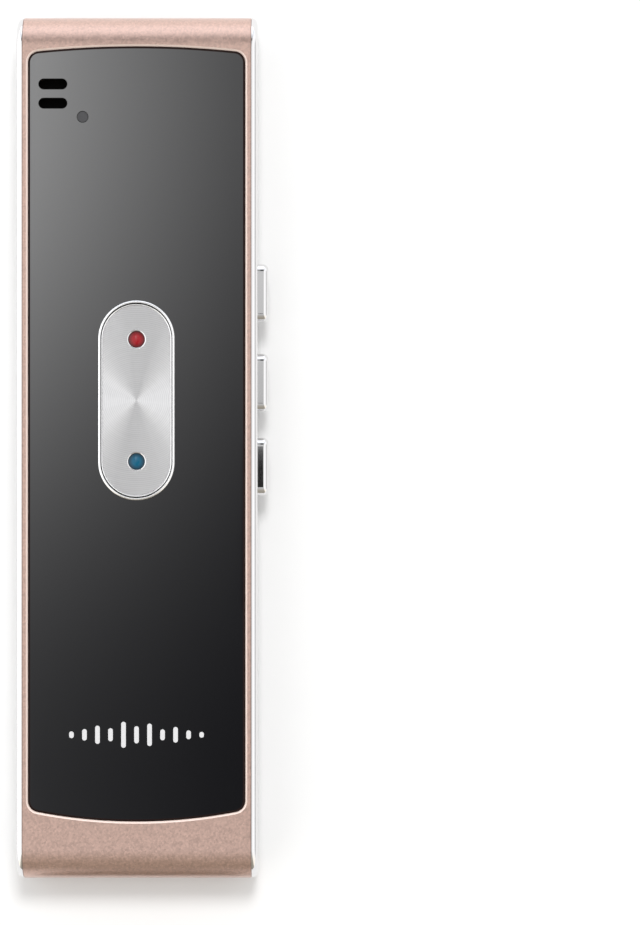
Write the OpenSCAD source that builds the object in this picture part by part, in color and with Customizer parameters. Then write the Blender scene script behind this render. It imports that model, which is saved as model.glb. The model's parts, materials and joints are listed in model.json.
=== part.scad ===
// Handheld voice translator, lying on its back.
// X runs across the slab with the side buttons at +X, Y runs along it with the microphone end at +Y,
// and Z runs from the back to the glass. The origin is the centre of the flat back face.
// All sizes are in millimetres. A "drop" is a distance from the top end of the shell.

/* [Shell] */
// Length of the metal shell
body_len = 140; // [126:1:160]
// Width of the metal shell without its side trims
shell_w = 36.8; // [36:0.2:44]
// Thickness from the back face to the front face
body_thk = 11; // [10.8:0.1:14]
// Height of the flat left between the two roundings of each end
end_flat = 0.6; // [0.2:0.1:2]
// Thickness of the back wall
back_wall = 1; // [0.8:0.05:1.2]
// Thickness of the front wall under the glass
front_wall = 0.8; // [0.6:0.05:0.95]
// Thickness of the end walls
end_wall = 1.2; // [1:0.1:1.8]

/* [Glass] */
// Plain metal left on each long side of the bevel
side_border = 0.55; // [0.3:0.05:1.5]
// Width and depth of the bright bevel round the glass
bevel = 0.3; // [0.1:0.05:0.5]
// Gap between the glass and the wall of its recess
glass_gap = 0.05; // [0.02:0.01:0.1]
// Metal above the glass on the centre line
top_border = 5.24; // [4.5:0.1:8]
// Metal below the glass on the centre line
bottom_border = 9.7; // [6:0.1:16]
// Radius of the arched top edge
top_arc_r = 157; // [90:1:300]
// Radius of the arched bottom edge
bottom_arc_r = 84; // [70:1:300]
// Corner radius of the glass
glass_corner_r = 1.8; // [0.8:0.1:4]
// Thickness of the glass
glass_t = 0.7; // [0.5:0.05:0.85]
// Thickness of the adhesive film under the glass
adhesive_t = 0.15; // [0.1:0.05:0.25]
// Depth of the glass face below the metal face
glass_recess = 0.05; // [0:0.01:0.1]

/* [Side trims] */
// Thickness of each side trim outside the shell
trim_t = 1.1; // [0.9:0.05:2]
// Rounding of the outer edge of a trim
trim_edge_r = 1; // [0.3:0.05:1]
// Depth of the trim's inner rim inside the shell
rim_depth = 1.5; // [1:0.1:1.8]
// Wall of the trim's inner rim
rim_wall = 0.8; // [0.5:0.05:0.9]
// Clearance between the inner parts and the shell
fit_gap = 0.1; // [0.05:0.01:0.15]

/* [Side buttons] */
// Drops of the three button centres
button_drops = [44.8, 59.4, 73.05]; // [30:0.05:90]
// Length of a button along the slab
button_len = 9.4; // [7:0.1:11]
// Height of a button across the thickness
button_h = 4.2; // [3:0.1:4.4]
// Corner radius of a button seen from the side
button_corner_r = 1.4; // [0.9:0.1:1.5]
// Rounding of a button's outer edge
button_edge_r = 0.8; // [0.3:0.05:0.85]
// Height of a button above its trim
button_proud = 1.66; // [1:0.01:2.5]
// Inward travel of a button
button_travel = 0.3; // [0.2:0.05:0.4]
// Gap round a button in its trim
button_gap = 0.12; // [0.08:0.01:0.2]
// Thickness of the flange that keeps a button in
flange_t = 0.6; // [0.4:0.05:0.8]
// Overhang of that flange past the opening
flange_lip = 0.4; // [0.2:0.05:0.42]
// Gap between the flange and the trim with the button out
flange_gap = 0.05; // [0.02:0.01:0.1]
// Length of the nub that presses the switch
nub_len = 0.5; // [0.3:0.05:0.8]
// Diameter of the nub and of the switch plunger
plunger_d = 1.2; // [0.8:0.1:1.6]
// Depth, length and height of a side switch
side_switch_size = [2, 3.6, 3]; // [1.6:0.1:4.5]
// Thickness of the upright switch board
side_board_t = 0.6; // [0.4:0.1:1]

/* [Pill key] */
// Drop of the pill key's centre
rocker_drop = 62.35; // [56:0.05:72]
// Length of the pill key with its bezel
rocker_len = 32.3; // [30:0.1:36]
// Width of the pill key with its bezel
rocker_w = 12.4; // [12:0.1:14]
// Width of the bezel ring
bezel_w = 0.4; // [0.3:0.05:0.6]
// Height of the bezel above the glass
bezel_proud = 0.4; // [0.2:0.05:0.8]
// Flat left on top of the bezel beside its rounded edge
bezel_land = 0.1; // [0.05:0.05:0.15]
// Wall of the bezel's sleeve through the glass
sleeve_wall = 0.2; // [0.15:0.05:0.3]
// Gap between the bezel and the moving key
rocker_gap = 0.13; // [0.1:0.01:0.3]
// Height of the moving key above the glass
rocker_proud = 0.25; // [0.1:0.05:0.6]
// Width of the bright rim round the brushed plate
rocker_rim = 0.2; // [0.15:0.05:0.5]
// Thickness of the brushed plate
plate_t = 0.4; // [0.3:0.05:0.5]
// Tilt of the key each way, in degrees
rocker_tilt = 1.2; // [0.8:0.1:1.4]
// Distance of each lens from the key's centre
lens_offset = 9.85; // [8:0.05:10.2]
// Diameter of a lens
lens_d = 2.65; // [1.8:0.05:3]
// Bright chamfer round a lens
lens_chamfer = 0.15; // [0.05:0.05:0.25]
// Diameter of the pivot pin
pin_d = 0.8; // [0.6:0.05:0.9]
// Running clearance of the pin in the key
pin_gap = 0.04; // [0.02:0.01:0.06]
// Thickness of the stamped pivot bracket
bracket_t = 0.25; // [0.2:0.05:0.3]
// Distance of each return dome from the key's centre
dome_offset = 13.2; // [13:0.1:13.6]

/* [Microphone and indicator] */
// Drop of the first microphone slot
slot_drop = 11.3; // [11:0.1:13]
// Distance between the two slots
slot_pitch = 3.1; // [2.6:0.1:3.4]
// Length of a slot
slot_len = 4.6; // [3.6:0.1:4.8]
// Width of a slot
slot_w = 1.67; // [1:0.01:1.8]
// Distance of the slots' centre from the left edge of the glass
slot_inset = 4; // [3.9:0.1:6]
// Drop of the indicator
indicator_drop = 16.6; // [16:0.1:20]
// Distance of the indicator from the left edge of the glass
indicator_inset = 8.8; // [8.4:0.1:12]
// Diameter of the indicator's light guide
indicator_d = 1.7; // [1:0.1:2.2]

/* [Speaker] */
// Drop of the speaker's centre
speaker_drop = 29.8; // [28:0.1:31]
// Diameter of the speaker
speaker_d = 29; // [25:0.5:29]
// Distance between neighbouring grille holes
grille_pitch = 2.7; // [2:0.1:3.4]
// Diameter of a grille hole
grille_hole_d = 1; // [0.6:0.05:1.4]
// Thickness of the foam ring under the speaker
gasket_t = 0.5; // [0.3:0.05:0.7]
// Width of the foam ring
gasket_w = 2.6; // [1.8:0.1:3]
// Thickness of the dust mesh
mesh_t = 0.1; // [0.05:0.05:0.2]

/* [Inside] */
// Thickness of the main board
board_t = 1; // [0.8:0.1:1.1]
// Room for components between the main board and the front wall
component_room = 2.2; // [2.2:0.05:2.4]
// Wall of the moulded chassis
chassis_wall = 1; // [0.8:0.1:1.1]
// Width of the chassis bars that hold the screws
bar_w = 3.6; // [3.4:0.1:4]
// Shank diameter of a board screw
screw_d = 1.3; // [1:0.1:1.6]
// Head diameter of a board screw
screw_head_d = 2.4; // [2:0.1:2.8]
// Thickness of the battery's adhesive tape
tape_t = 0.15; // [0.1:0.05:0.3]
// Room left round the battery for swelling
swell_gap = 0.3; // [0.2:0.05:0.5]
// Room for the leads between the battery and the middle bar
lead_room = 3.6; // [3.2:0.1:5]
// Diameter of a lead
lead_d = 0.7; // [0.5:0.05:0.9]
// Width of the charging socket's steel shell
socket_w = 7.5; // [7.4:0.1:9]
// Height of the charging socket's steel shell
socket_h = 2.5; // [2.4:0.1:3]
// Depth of the charging socket
socket_depth = 5; // [4.4:0.1:5.4]

/* [Board components] */
// Processor: width, length and height
processor_size = [9, 9, 1]; // [0.5:0.1:12]
// Memory: width, length and height
memory_size = [6, 5, 1.2]; // [0.5:0.1:8]
// Radio shield can: width, length and height
can_size = [14, 13, 1.6]; // [1:0.1:15]
// Chip antenna: width, length and height
antenna_size = [3.2, 1.6, 1.2]; // [0.5:0.1:5]
// Crystal: width, length and height
crystal_size = [3.2, 2.5, 0.8]; // [0.5:0.1:4]
// Amplifier: width, length and height
amplifier_size = [3, 3, 0.8]; // [0.5:0.1:4]
// Charging controller: width, length and height
charger_size = [4, 4, 0.9]; // [0.5:0.1:5]
// Power inductor: width, length and height
inductor_size = [4, 4, 1.5]; // [0.5:0.1:5]
// Light-emitting diode: width, length and height
led_size = [1.6, 0.8, 0.6]; // [0.4:0.1:2]
// Microphone capsule: width, length and height
capsule_size = [3.8, 3, 1.1]; // [0.8:0.1:4]
// Battery connector: width, length and height
connector_size = [3.8, 3, 1.4]; // [1:0.1:4]
// Capacitor: width, length and height
capacitor_size = [1, 0.5, 0.5]; // [0.3:0.1:2]
// Middle of the processor: across, and below the top end
processor_place = [0, 90]; // [-15:0.5:135]
// Middle of the memory: across, and below the top end
memory_place = [0, 101]; // [-15:0.5:135]
// Middle of the crystal: across, and below the top end
crystal_place = [9, 90]; // [-15:0.5:135]
// Middle of the shield can: across, and below the top end
can_place = [0, 24]; // [-15:0.5:135]
// Middle of the chip antenna: across, and below the top end
antenna_place = [8, 8]; // [-15:0.5:135]
// Middle of the amplifier: across, and below the top end
amplifier_place = [9.6, 34]; // [-15:0.1:135]
// Middle of the charging controller: across, and below the top end
charger_place = [-3, 126]; // [-15:0.5:135]
// Middle of the power inductor: across, and below the top end
inductor_place = [4, 126]; // [-15:0.5:135]
// First capacitor: across, and below the top end
capacitor_place = [-9, 84]; // [-15:0.5:135]
// Capacitors, from one to the next
capacitor_pitch = 2; // [1:0.5:4]
// Rows of capacitors
capacitor_rows = 5; // [1:1:10]
// Middle of the battery connector, across
connector_x = -9.3; // [-12:0.1:12]

/* [Hidden] */
$fn = 96;
// Facets of the large arcs, only for the preview
arc_fn = 720;
// Cuts run past the faces they open by this much
over = 0.5;

// Heights, from the back to the front
end_r = (body_thk - end_flat) / 2;
glass_z1 = body_thk - glass_recess;
glass_z0 = glass_z1 - glass_t;
pocket_z = glass_z0 - adhesive_t;
front_in = pocket_z - front_wall;
back_in = back_wall;
cavity_h = front_in - back_in;
cavity_flat = 0.2;
cavity_r = min(end_r - end_wall, (cavity_h - cavity_flat) / 2);
board_z1 = front_in - component_room;
board_z0 = board_z1 - board_t;

// Lengths, from the middle outwards
top_y = body_len / 2;
cavity_y = top_y - end_wall;
chassis_setback = 0.8;
frame_y = top_y - end_r - chassis_setback;
board_setback = 1.8;
board_y0 = board_setback - cavity_y;

// Widths, from the middle outwards
side_x = shell_w / 2;
frame_x = side_x - rim_depth - fit_gap;
rail_in = frame_x - chassis_wall;
board_inset = 0.4;
board_x = frame_x - board_inset;

// Outline of the glass
glass_w = shell_w - 2 * (side_border + bevel + glass_gap);
glass_y1 = top_y - top_border;
glass_y0 = bottom_border - top_y;
top_arc_y = glass_y1 - top_arc_r;
bottom_arc_y = glass_y0 + bottom_arc_r;
corner_x = glass_w / 2 - glass_corner_r;
top_corner_y = top_arc_y + sqrt(pow(top_arc_r - glass_corner_r, 2) - pow(corner_x, 2));
bottom_corner_y = bottom_arc_y - sqrt(pow(bottom_arc_r - glass_corner_r, 2) - pow(corner_x, 2));

// Pill key
rocker_y = top_y - rocker_drop;
bezel_in_w = rocker_w - 2 * bezel_w;
bezel_in_len = rocker_len - 2 * bezel_w;
sleeve_w = bezel_in_w + 2 * sleeve_wall;
sleeve_len = bezel_in_len + 2 * sleeve_wall;
sleeve_gap = 0.05;
key_w = bezel_in_w - 2 * rocker_gap;
key_z0 = front_in;
key_z1 = glass_z1 + rocker_proud;
plate_gap = 0.03;
plate_step = 0.05;
plate_z1 = key_z1 - plate_step;
plate_z0 = plate_z1 - plate_t;
web_t = 0.45;
web_z0 = plate_z0 - web_t;
key_wall = 0.8;
lens_gap = 0.05;
lens_flange = 0.5;
lens_flange_t = 0.4;

// Pivot of the pill key
boss_wall = 0.36;
boss_r = pin_d / 2 + pin_gap + boss_wall;
boss_clear = 0.2;
pin_z = board_z1 + bracket_t + boss_clear + boss_r;
tilt_room = (key_z1 - pin_z) * sin(rocker_tilt);
key_len = bezel_in_len - 2 * (rocker_gap + tilt_room);
ear_in = 5;
ear_w = 2.4;
ear_top = 0.25;
pin_seat_gap = 0.02;
pin_stickout = 0.35;
pin_len = 2 * (ear_in + bracket_t + pin_stickout);

// Return domes under the pill key
dome_base = 5.2;
dome_base_t = 0.3;
dome_wall = 0.35;
dome_r0 = 2.2;
dome_r1 = 1.5;
dome_gap = 0.05;

// Side buttons, from the outside inwards
button_z = body_thk / 2;
button_ys = [for (drop = button_drops) top_y - drop];
opening_len = button_len + 2 * button_gap;
opening_h = button_h + 2 * button_gap;
opening_r = button_corner_r + button_gap;
flange_x1 = side_x - flange_gap;
flange_x0 = flange_x1 - flange_t;
nub_x = flange_x0 - nub_len;
switch_margin = 0.3;
switch_x1 = nub_x - button_travel - switch_margin;
switch_x0 = switch_x1 - side_switch_size[0];
plunger_gap = 0.05;
plunger_seat = 0.85;
side_board_x = switch_x0 - side_board_t;
bay_margin = 5.95;
bay_y0 = min(button_ys) - bay_margin;
bay_y1 = max(button_ys) + bay_margin;
bay_gap = 0.1;
bay_rail_in = side_board_x - chassis_wall;
notch_gap = 0.3;
board_notch_x = side_board_x - notch_gap;
side_board_low = 0.3;
side_board_high = 0.5;

// Flat cable from the switch board to the main board
ribbon_t = 0.15;
ribbon_w = 6;
ribbon_reach = 4;
ribbon_rise = 1.3;
ribbon_inset = 5;
ribbon_y = bay_y0 + ribbon_inset;

// Microphone and indicator
slot_x = slot_inset - glass_w / 2;
slot_ys = [top_y - slot_drop, top_y - slot_drop - slot_pitch];
mic_y = top_y - slot_drop - slot_pitch / 2;
slot_relief = 0.15;
mic_mesh_t = 0.15;
mic_mesh_z = front_in - mic_mesh_t;
mic_wall = 0.6;
mic_port_r = 0.6;
chamber_margin = 0.3;
chamber_h = 0.5;
mic_chamber = [slot_len + chamber_margin, slot_pitch + slot_w + chamber_margin, chamber_h];
mic_boot_w = mic_chamber[0] + 2 * mic_wall;
mic_boot_len = mic_chamber[1] + 2 * mic_wall;
capsule_gap = 0.05;
indicator_x = indicator_inset - glass_w / 2;
indicator_y = top_y - indicator_drop;
guide_gap = 0.05;
guide_lip = 0.45;
guide_lip_t = 0.4;
guide_sink = 0.02;
guide_clear = 0.15;
guide_z0 = board_z1 + led_size[2] + guide_clear;

// Speaker, from the back to the front
speaker_y = top_y - speaker_drop;
speaker_r = speaker_d / 2;
speaker_z0 = back_in + gasket_t;
speaker_clear = 0.3;
speaker_z1 = board_z0 - speaker_clear;
mesh_gap = 0.1;
mesh_r = speaker_r - gasket_w - mesh_gap;
flange_w = 1.5;
flange_h = 0.8;
basket_r = speaker_r - flange_w;
basket_wall = 0.8;
basket_h = 3;
basket_z1 = speaker_z0 + basket_h;
magnet_r = 7;
magnet_rise = 2;
magnet_z0 = speaker_z0 + magnet_rise;
coil_r = 5.2;
coil_wall = 0.3;
coil_h = 0.6;
cone_t = 0.2;
cone_rise = 0.9;
cone_rim_w = 1.6;
cone_z0 = speaker_z0 + fit_gap;
ring_gap = 0.15;
ring_r = speaker_r + ring_gap;
ring_wall = 1.65;
ring_lip = 0.4;
ring_h = gasket_t + flange_h + ring_lip;

// Battery bay and screws
mid_bar_y = speaker_y - ring_r - bar_w / 2;
end_bar_y = frame_y - bar_w / 2;
low_bar_inset = 2;
low_bar_y = low_bar_inset + bar_w / 2 - frame_y;
guard_t = 0.8;
guard_w = 18;
guard_h = 3;
battery_y0 = low_bar_y + bar_w / 2 + swell_gap;
battery_y1 = mid_bar_y - bar_w / 2 - lead_room - guard_t;
battery_x0 = -(rail_in - swell_gap);
battery_x1 = bay_rail_in - swell_gap;
battery_z0 = back_in + tape_t;
battery_z1 = board_z0 - swell_gap;
battery_r = 1.2;
lead_pitch = 1.2;
lead_bend = 0.8;
screw_inset = 3.5;
screw_x = frame_x - screw_inset;
bay_screw_inset = 2.7;
bay_screw_x = bay_rail_in - bay_screw_inset;
screw_spots = [
    [-screw_x, low_bar_y], [screw_x, low_bar_y], [-screw_x, mid_bar_y],
    [bay_screw_x, mid_bar_y], [-screw_x, end_bar_y], [screw_x, end_bar_y]
];
screw_head_h = 0.5;
screw_len = 4;
screw_gap = 0.05;

// Charging socket under the lower end of the board
socket_sink = 0.4;
socket_y0 = socket_sink - top_y;
socket_y1 = socket_y0 + socket_depth;
socket_z1 = board_z0;
socket_wall = 0.3;
socket_cant = 0.8;
socket_gap = 0.15;
tongue_size = [3.8, 3.6, 0.6];
tongue_base = 0.8;

// Places on the main board
function from_top(place) = [place[0], top_y - place[1]];
processor_at = from_top(processor_place);
memory_at = from_top(memory_place);
crystal_at = from_top(crystal_place);
can_at = from_top(can_place);
antenna_at = from_top(antenna_place);
amplifier_at = from_top(amplifier_place);
charger_at = from_top(charger_place);
inductor_at = from_top(inductor_place);
capacitor_start = from_top(capacitor_place);
connector_at = [connector_x, mid_bar_y];
battery_lead_shift = 0.4;
battery_lead_y = battery_y1 + guard_t + lead_room / 2 + battery_lead_shift;
speaker_lead_gap = 1.2;
speaker_lead_y = speaker_y + ring_r + speaker_lead_gap;
cable_slot = [3, 2];

// ---- Shared shapes ----

// Rectangle with round corners, centred
module round_rect(l, h, r) {
    square([l - 2 * r, h], center = true);
    square([l, h - 2 * r], center = true);
    for (x = [-1, 1], y = [-1, 1])
        translate([x * (l / 2 - r), y * (h / 2 - r)])
            circle(r);
}

// Flat pill along Y, centred
module pill(l, w) {
    square([w, l - w], center = true);
    for (end = [-1, 1])
        translate([0, end * (l - w) / 2])
            circle(d = w);
}

// Carries a child profile once round a pill; the profile's X is its distance from the pill's spine
module round_pill(l, w) {
    for (turn = [0, 180])
        rotate([0, 0, turn]) {
            translate([0, (l - w) / 2, 0])
                rotate_extrude(angle = 180)
                    children();
            rotate([90, 0, 0])
                linear_extrude(l - w, center = true)
                    children();
        }
}

// Stands a flat shape drawn in Y and Z upright and extrudes it along X
module along_x(depth) {
    rotate([90, 0, 90])
        linear_extrude(depth)
            children();
}

// Cross-section of a slab with its two outer edges rounded
module edge_section(w, t, edge_r) {
    intersection() {
        union() {
            translate([-w / 2, 0])
                square([w, t - edge_r]);
            translate([edge_r - w / 2, 0])
                square([w - 2 * edge_r, t]);
            for (side = [-1, 1])
                translate([side * (w / 2 - edge_r), t - edge_r])
                    circle(edge_r);
        }
        translate([-w / 2, 0])
            square([w, t]);
    }
}

// Slab standing along X from 0 to t, with round corners and a rounded outer edge
module soft_slab(l, h, corner_r, edge_r, t) {
    for (y = [-1, 1], z = [-1, 1])
        translate([0, y * (l / 2 - corner_r), z * (h / 2 - corner_r)])
            rotate([0, 90, 0])
                rotate_extrude()
                    intersection() {
                        edge_section(2 * corner_r, t, edge_r);
                        square([corner_r, t]);
                    }
    rotate([0, -90, -90])
        linear_extrude(l - 2 * corner_r, center = true)
            edge_section(h, t, edge_r);
    rotate([0, 0, -90])
        linear_extrude(h - 2 * corner_r, center = true)
            edge_section(l, t, edge_r);
}

// Cuts away the sharp corner that a fillet centred at [side * corner_x, y] replaces
module corner_wedge(side, y, arc_y, z0, z1) {
    reach = 3 * (glass_corner_r + bevel + over);
    up = sign(y - arc_y);
    slope = [side * corner_x, y - arc_y] / norm([corner_x, y - arc_y]);
    translate([side * corner_x, y, z0 - over])
        linear_extrude(z1 - z0 + 2 * over)
            polygon([[0, 0], [side * reach, 0], [side * reach, up * reach], slope * reach]);
}

// Solid with the outline of the glass, grown by grow0 at z0 and by grow1 at z1
module glass_form(z0, z1, grow0, grow1) {
    h = z1 - z0;
    half = glass_w / 2;
    ends = [[top_corner_y, top_arc_y], [bottom_corner_y, bottom_arc_y]];
    difference() {
        intersection() {
            translate([0, top_arc_y, z0])
                cylinder(h, top_arc_r + grow0, top_arc_r + grow1, $fn = arc_fn);
            translate([0, bottom_arc_y, z0])
                cylinder(h, bottom_arc_r + grow0, bottom_arc_r + grow1, $fn = arc_fn);
            rotate([90, 0, 0])
                linear_extrude(2 * body_len, center = true)
                    polygon([
                        [-half - grow0, z0], [half + grow0, z0], [half + grow1, z1], [-half - grow1, z1]
                    ]);
        }
        for (side = [-1, 1], end = ends)
            corner_wedge(side, end[0], end[1], z0, z1);
    }
    for (side = [-1, 1], end = ends)
        translate([side * corner_x, end[0], z0])
            cylinder(h, glass_corner_r + grow0, glass_corner_r + grow1);
}

// The window of the pill key, the slots and the indicator hole, as cuts from z0 to z1
module front_openings(z0, z1, relief) {
    translate([0, rocker_y, z0])
        linear_extrude(z1 - z0)
            pill(sleeve_len + 2 * (sleeve_gap + relief), sleeve_w + 2 * (sleeve_gap + relief));
    for (y = slot_ys)
        translate([slot_x, y, z0])
            linear_extrude(z1 - z0)
                rotate([0, 0, 90])
                    pill(slot_len + 2 * relief, slot_w + 2 * relief);
    translate([indicator_x, indicator_y, z0])
        cylinder(z1 - z0, d = indicator_d + 2 * guide_gap);
}

// Flat outline of the shell's hollow, drawn in Y and Z
module cavity_outline(inset) {
    translate([0, (back_in + front_in) / 2])
        round_rect(2 * (cavity_y - inset), cavity_h - 2 * inset, cavity_r - inset);
}

// Outline of the charging socket, drawn in X and Z with its top at the board
module socket_outline(grow) {
    w = socket_w / 2 + grow;
    low = -socket_h - grow;
    polygon([
        [-w, grow], [w, grow], [w, low + socket_cant], [w - socket_cant, low],
        [socket_cant - w, low], [-w, low + socket_cant]
    ]);
}

// A block standing on the main board
module on_board(at, size) {
    translate([at[0] - size[0] / 2, at[1] - size[1] / 2, board_z1])
        cube(size);
}

// A chip on the main board, with a round mark in the corner of its first contact
module chip(at, size) {
    mark_r = 0.3;
    mark_inset = 0.8;
    mark_depth = 0.1;
    difference() {
        on_board(at, size);
        translate([
            at[0] - size[0] / 2 + mark_inset, at[1] + size[1] / 2 - mark_inset,
            board_z1 + size[2] - mark_depth
        ])
            cylinder(mark_depth + over, r = mark_r);
    }
}

// A lead that runs along Y from y0, climbs at y1 from z0 to z1 and runs on to y2
module lead(x, y0, z0, y1, z1, y2) {
    translate([x, y0, z0])
        rotate([-90, 0, 0])
            cylinder(y1 - lead_bend - y0, d = lead_d);
    translate([x, y1 - lead_bend, z0 + lead_bend])
        rotate([0, 90, 0])
            rotate_extrude(angle = 90)
                translate([lead_bend, 0])
                    circle(d = lead_d);
    translate([x, y1, z0 + lead_bend])
        cylinder(z1 - z0 - 2 * lead_bend, d = lead_d);
    translate([x, y1 + lead_bend, z1 - lead_bend])
        rotate([0, 90, 0])
            rotate([0, 0, 180])
                rotate_extrude(angle = 90)
                    translate([lead_bend, 0])
                        circle(d = lead_d);
    translate([x, y1 + lead_bend, z1])
        rotate([-90, 0, 0])
            cylinder(y2 - y1 - lead_bend, d = lead_d);
}

// ---- Case ----

module shell_sleeve() {
    color("rosybrown")
        difference() {
            translate([-side_x, 0, body_thk / 2])
                along_x(shell_w)
                    round_rect(body_len, body_thk, end_r);
            translate([-side_x - over, 0, 0])
                along_x(shell_w + 2 * over)
                    cavity_outline(0);
            glass_form(pocket_z, body_thk + over, glass_gap, glass_gap);
            glass_form(body_thk - bevel, body_thk + over, glass_gap, glass_gap + bevel + over);
            front_openings(front_in - over, pocket_z + over, slot_relief);
            grille_holes();
            translate([0, 0, socket_z1])
                rotate([90, 0, 0])
                    linear_extrude(top_y + over)
                        socket_outline(socket_gap);
        }
}

// Square grid of round holes, kept where a hole lies wholly inside the speaker
module grille_holes() {
    reach = speaker_r - grille_hole_d / 2;
    steps = ceil(reach / grille_pitch);
    for (i = [-steps : steps - 1], j = [-steps : steps - 1])
        let (x = (i + 0.5) * grille_pitch, y = (j + 0.5) * grille_pitch)
            if (norm([x, y]) < reach)
                translate([x, speaker_y + y, -over])
                    cylinder(back_wall + 2 * over, d = grille_hole_d, $fn = 24);
}

module front_glass() {
    color([0.08, 0.08, 0.09])
        difference() {
            glass_form(glass_z0, glass_z1, 0, 0);
            front_openings(glass_z0 - over, glass_z1 + over, 0);
        }
}

module glass_adhesive() {
    inset = 0.2;
    color("gray")
        difference() {
            glass_form(pocket_z, glass_z0, -inset, -inset);
            front_openings(pocket_z - over, glass_z0 + over, slot_relief);
        }
}

// One side trim, standing outwards along +X, with its rim inside the shell
module side_trim() {
    translate([side_x, 0, body_thk / 2])
        soft_slab(body_len, body_thk, end_r, trim_edge_r, trim_t);
    translate([side_x - rim_depth, 0, 0])
        along_x(rim_depth)
            difference() {
                cavity_outline(fit_gap);
                cavity_outline(fit_gap + rim_wall);
            }
}

module left_side_trim() {
    color("gainsboro")
        mirror([1, 0, 0])
            side_trim();
}

module right_side_trim() {
    color("gainsboro")
        difference() {
            side_trim();
            for (y = button_ys)
                translate([side_x - over, y, button_z])
                    along_x(trim_t + 2 * over)
                        round_rect(opening_len, opening_h, opening_r);
        }
}

// ---- Side buttons ----

module side_button(i) {
    inner_t = trim_t + flange_gap;
    color("silver")
        translate([0, button_ys[i], button_z]) {
            translate([flange_x1, 0, 0])
                soft_slab(button_len, button_h, button_corner_r, button_edge_r, inner_t + button_proud);
            translate([flange_x0, 0, 0])
                along_x(flange_t)
                    round_rect(
                        opening_len + 2 * flange_lip, opening_h + 2 * flange_lip, opening_r + flange_lip
                    );
            translate([nub_x, 0, 0])
                rotate([0, 90, 0])
                    cylinder(nub_len, d = plunger_d);
        }
}

module volume_up_button() side_button(0);
module volume_down_button() side_button(1);
module power_button() side_button(2);

module switch_plunger(i) {
    color("dimgray")
        translate([switch_x1 - plunger_seat, button_ys[i], button_z])
            rotate([0, 90, 0])
                cylinder(nub_x - switch_x1 + plunger_seat, d = plunger_d);
}

module volume_up_plunger() switch_plunger(0);
module volume_down_plunger() switch_plunger(1);
module power_plunger() switch_plunger(2);

module side_switch(i) {
    well = plunger_seat + button_travel + switch_margin;
    color("darkslategray")
        translate([switch_x0, button_ys[i], button_z])
            difference() {
                translate([0, -side_switch_size[1] / 2, -side_switch_size[2] / 2])
                    cube(side_switch_size);
                translate([side_switch_size[0] - well, 0, 0])
                    rotate([0, 90, 0])
                        cylinder(well + over, d = plunger_d + 2 * plunger_gap);
            }
}

module volume_up_switch() side_switch(0);
module volume_down_switch() side_switch(1);
module power_switch() side_switch(2);

module side_switch_board() {
    color("seagreen")
        translate([side_board_x, bay_y0 + bay_gap, back_in + side_board_low])
            cube([
                side_board_t, bay_y1 - bay_y0 - 2 * bay_gap, cavity_h - side_board_low - side_board_high
            ]);
}

module side_switch_ribbon() {
    color("orange")
        translate([0, ribbon_y + ribbon_w / 2, 0])
            rotate([90, 0, 0])
                linear_extrude(ribbon_w)
                    polygon([
                        [side_board_x - ribbon_reach, board_z1],
                        [side_board_x, board_z1],
                        [side_board_x, board_z1 + ribbon_rise],
                        [side_board_x - ribbon_t, board_z1 + ribbon_rise],
                        [side_board_x - ribbon_t, board_z1 + ribbon_t],
                        [side_board_x - ribbon_reach, board_z1 + ribbon_t]
                    ]);
}

// ---- Pill key ----

module rocker_bezel() {
    edge_r = min(bezel_w, bezel_proud) - bezel_land;
    spine_out = rocker_w / 2;
    spine_in = bezel_in_w / 2;
    color("silver")
        translate([0, rocker_y, 0])
            round_pill(rocker_len, rocker_w) {
                union() {
                    translate([spine_in, glass_z1])
                        square([bezel_w, bezel_proud - edge_r]);
                    translate([spine_in, glass_z1])
                        square([bezel_w - edge_r, bezel_proud]);
                    translate([spine_out - edge_r, glass_z1 + bezel_proud - edge_r])
                        intersection() {
                            circle(edge_r);
                            square(edge_r);
                        }
                    translate([spine_in, front_in])
                        square([sleeve_wall, glass_z1 - front_in]);
                }
            }
}

module rocker_carrier() {
    color("lightgray")
        difference() {
            union() {
                difference() {
                    translate([0, rocker_y, key_z0])
                        linear_extrude(key_z1 - key_z0)
                            pill(key_len, key_w);
                    translate([0, rocker_y, key_z0 - over])
                        linear_extrude(web_z0 - key_z0 + over)
                            pill(key_len - 2 * key_wall, key_w - 2 * key_wall);
                }
                translate([0, rocker_y, 0]) {
                    for (end = [-1, 1])
                        translate([0, end * dome_offset, key_z0])
                            cylinder(web_z0 - key_z0 + web_t / 2, r = dome_r1);
                    pivot_boss();
                }
            }
            translate([0, rocker_y, plate_z0])
                linear_extrude(key_z1 - plate_z0 + over)
                    pill(key_len - 2 * rocker_rim, key_w - 2 * rocker_rim);
            for (end = [-1, 1])
                translate([0, rocker_y + end * lens_offset, key_z0])
                    cylinder(key_z1 - key_z0, d = lens_d + 2 * lens_gap);
            translate([-ear_in, rocker_y, pin_z])
                rotate([0, 90, 0])
                    cylinder(2 * ear_in, r = pin_d / 2 + pin_gap);
        }
}

// Barrel round the pivot pin and the rib that joins it to the key
module pivot_boss() {
    half = ear_in - boss_clear;
    translate([-half, 0, pin_z])
        rotate([0, 90, 0])
            cylinder(2 * half, r = boss_r);
    translate([-half, -boss_r, pin_z])
        cube([2 * half, 2 * boss_r, web_z0 - pin_z + web_t / 2]);
}

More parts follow.
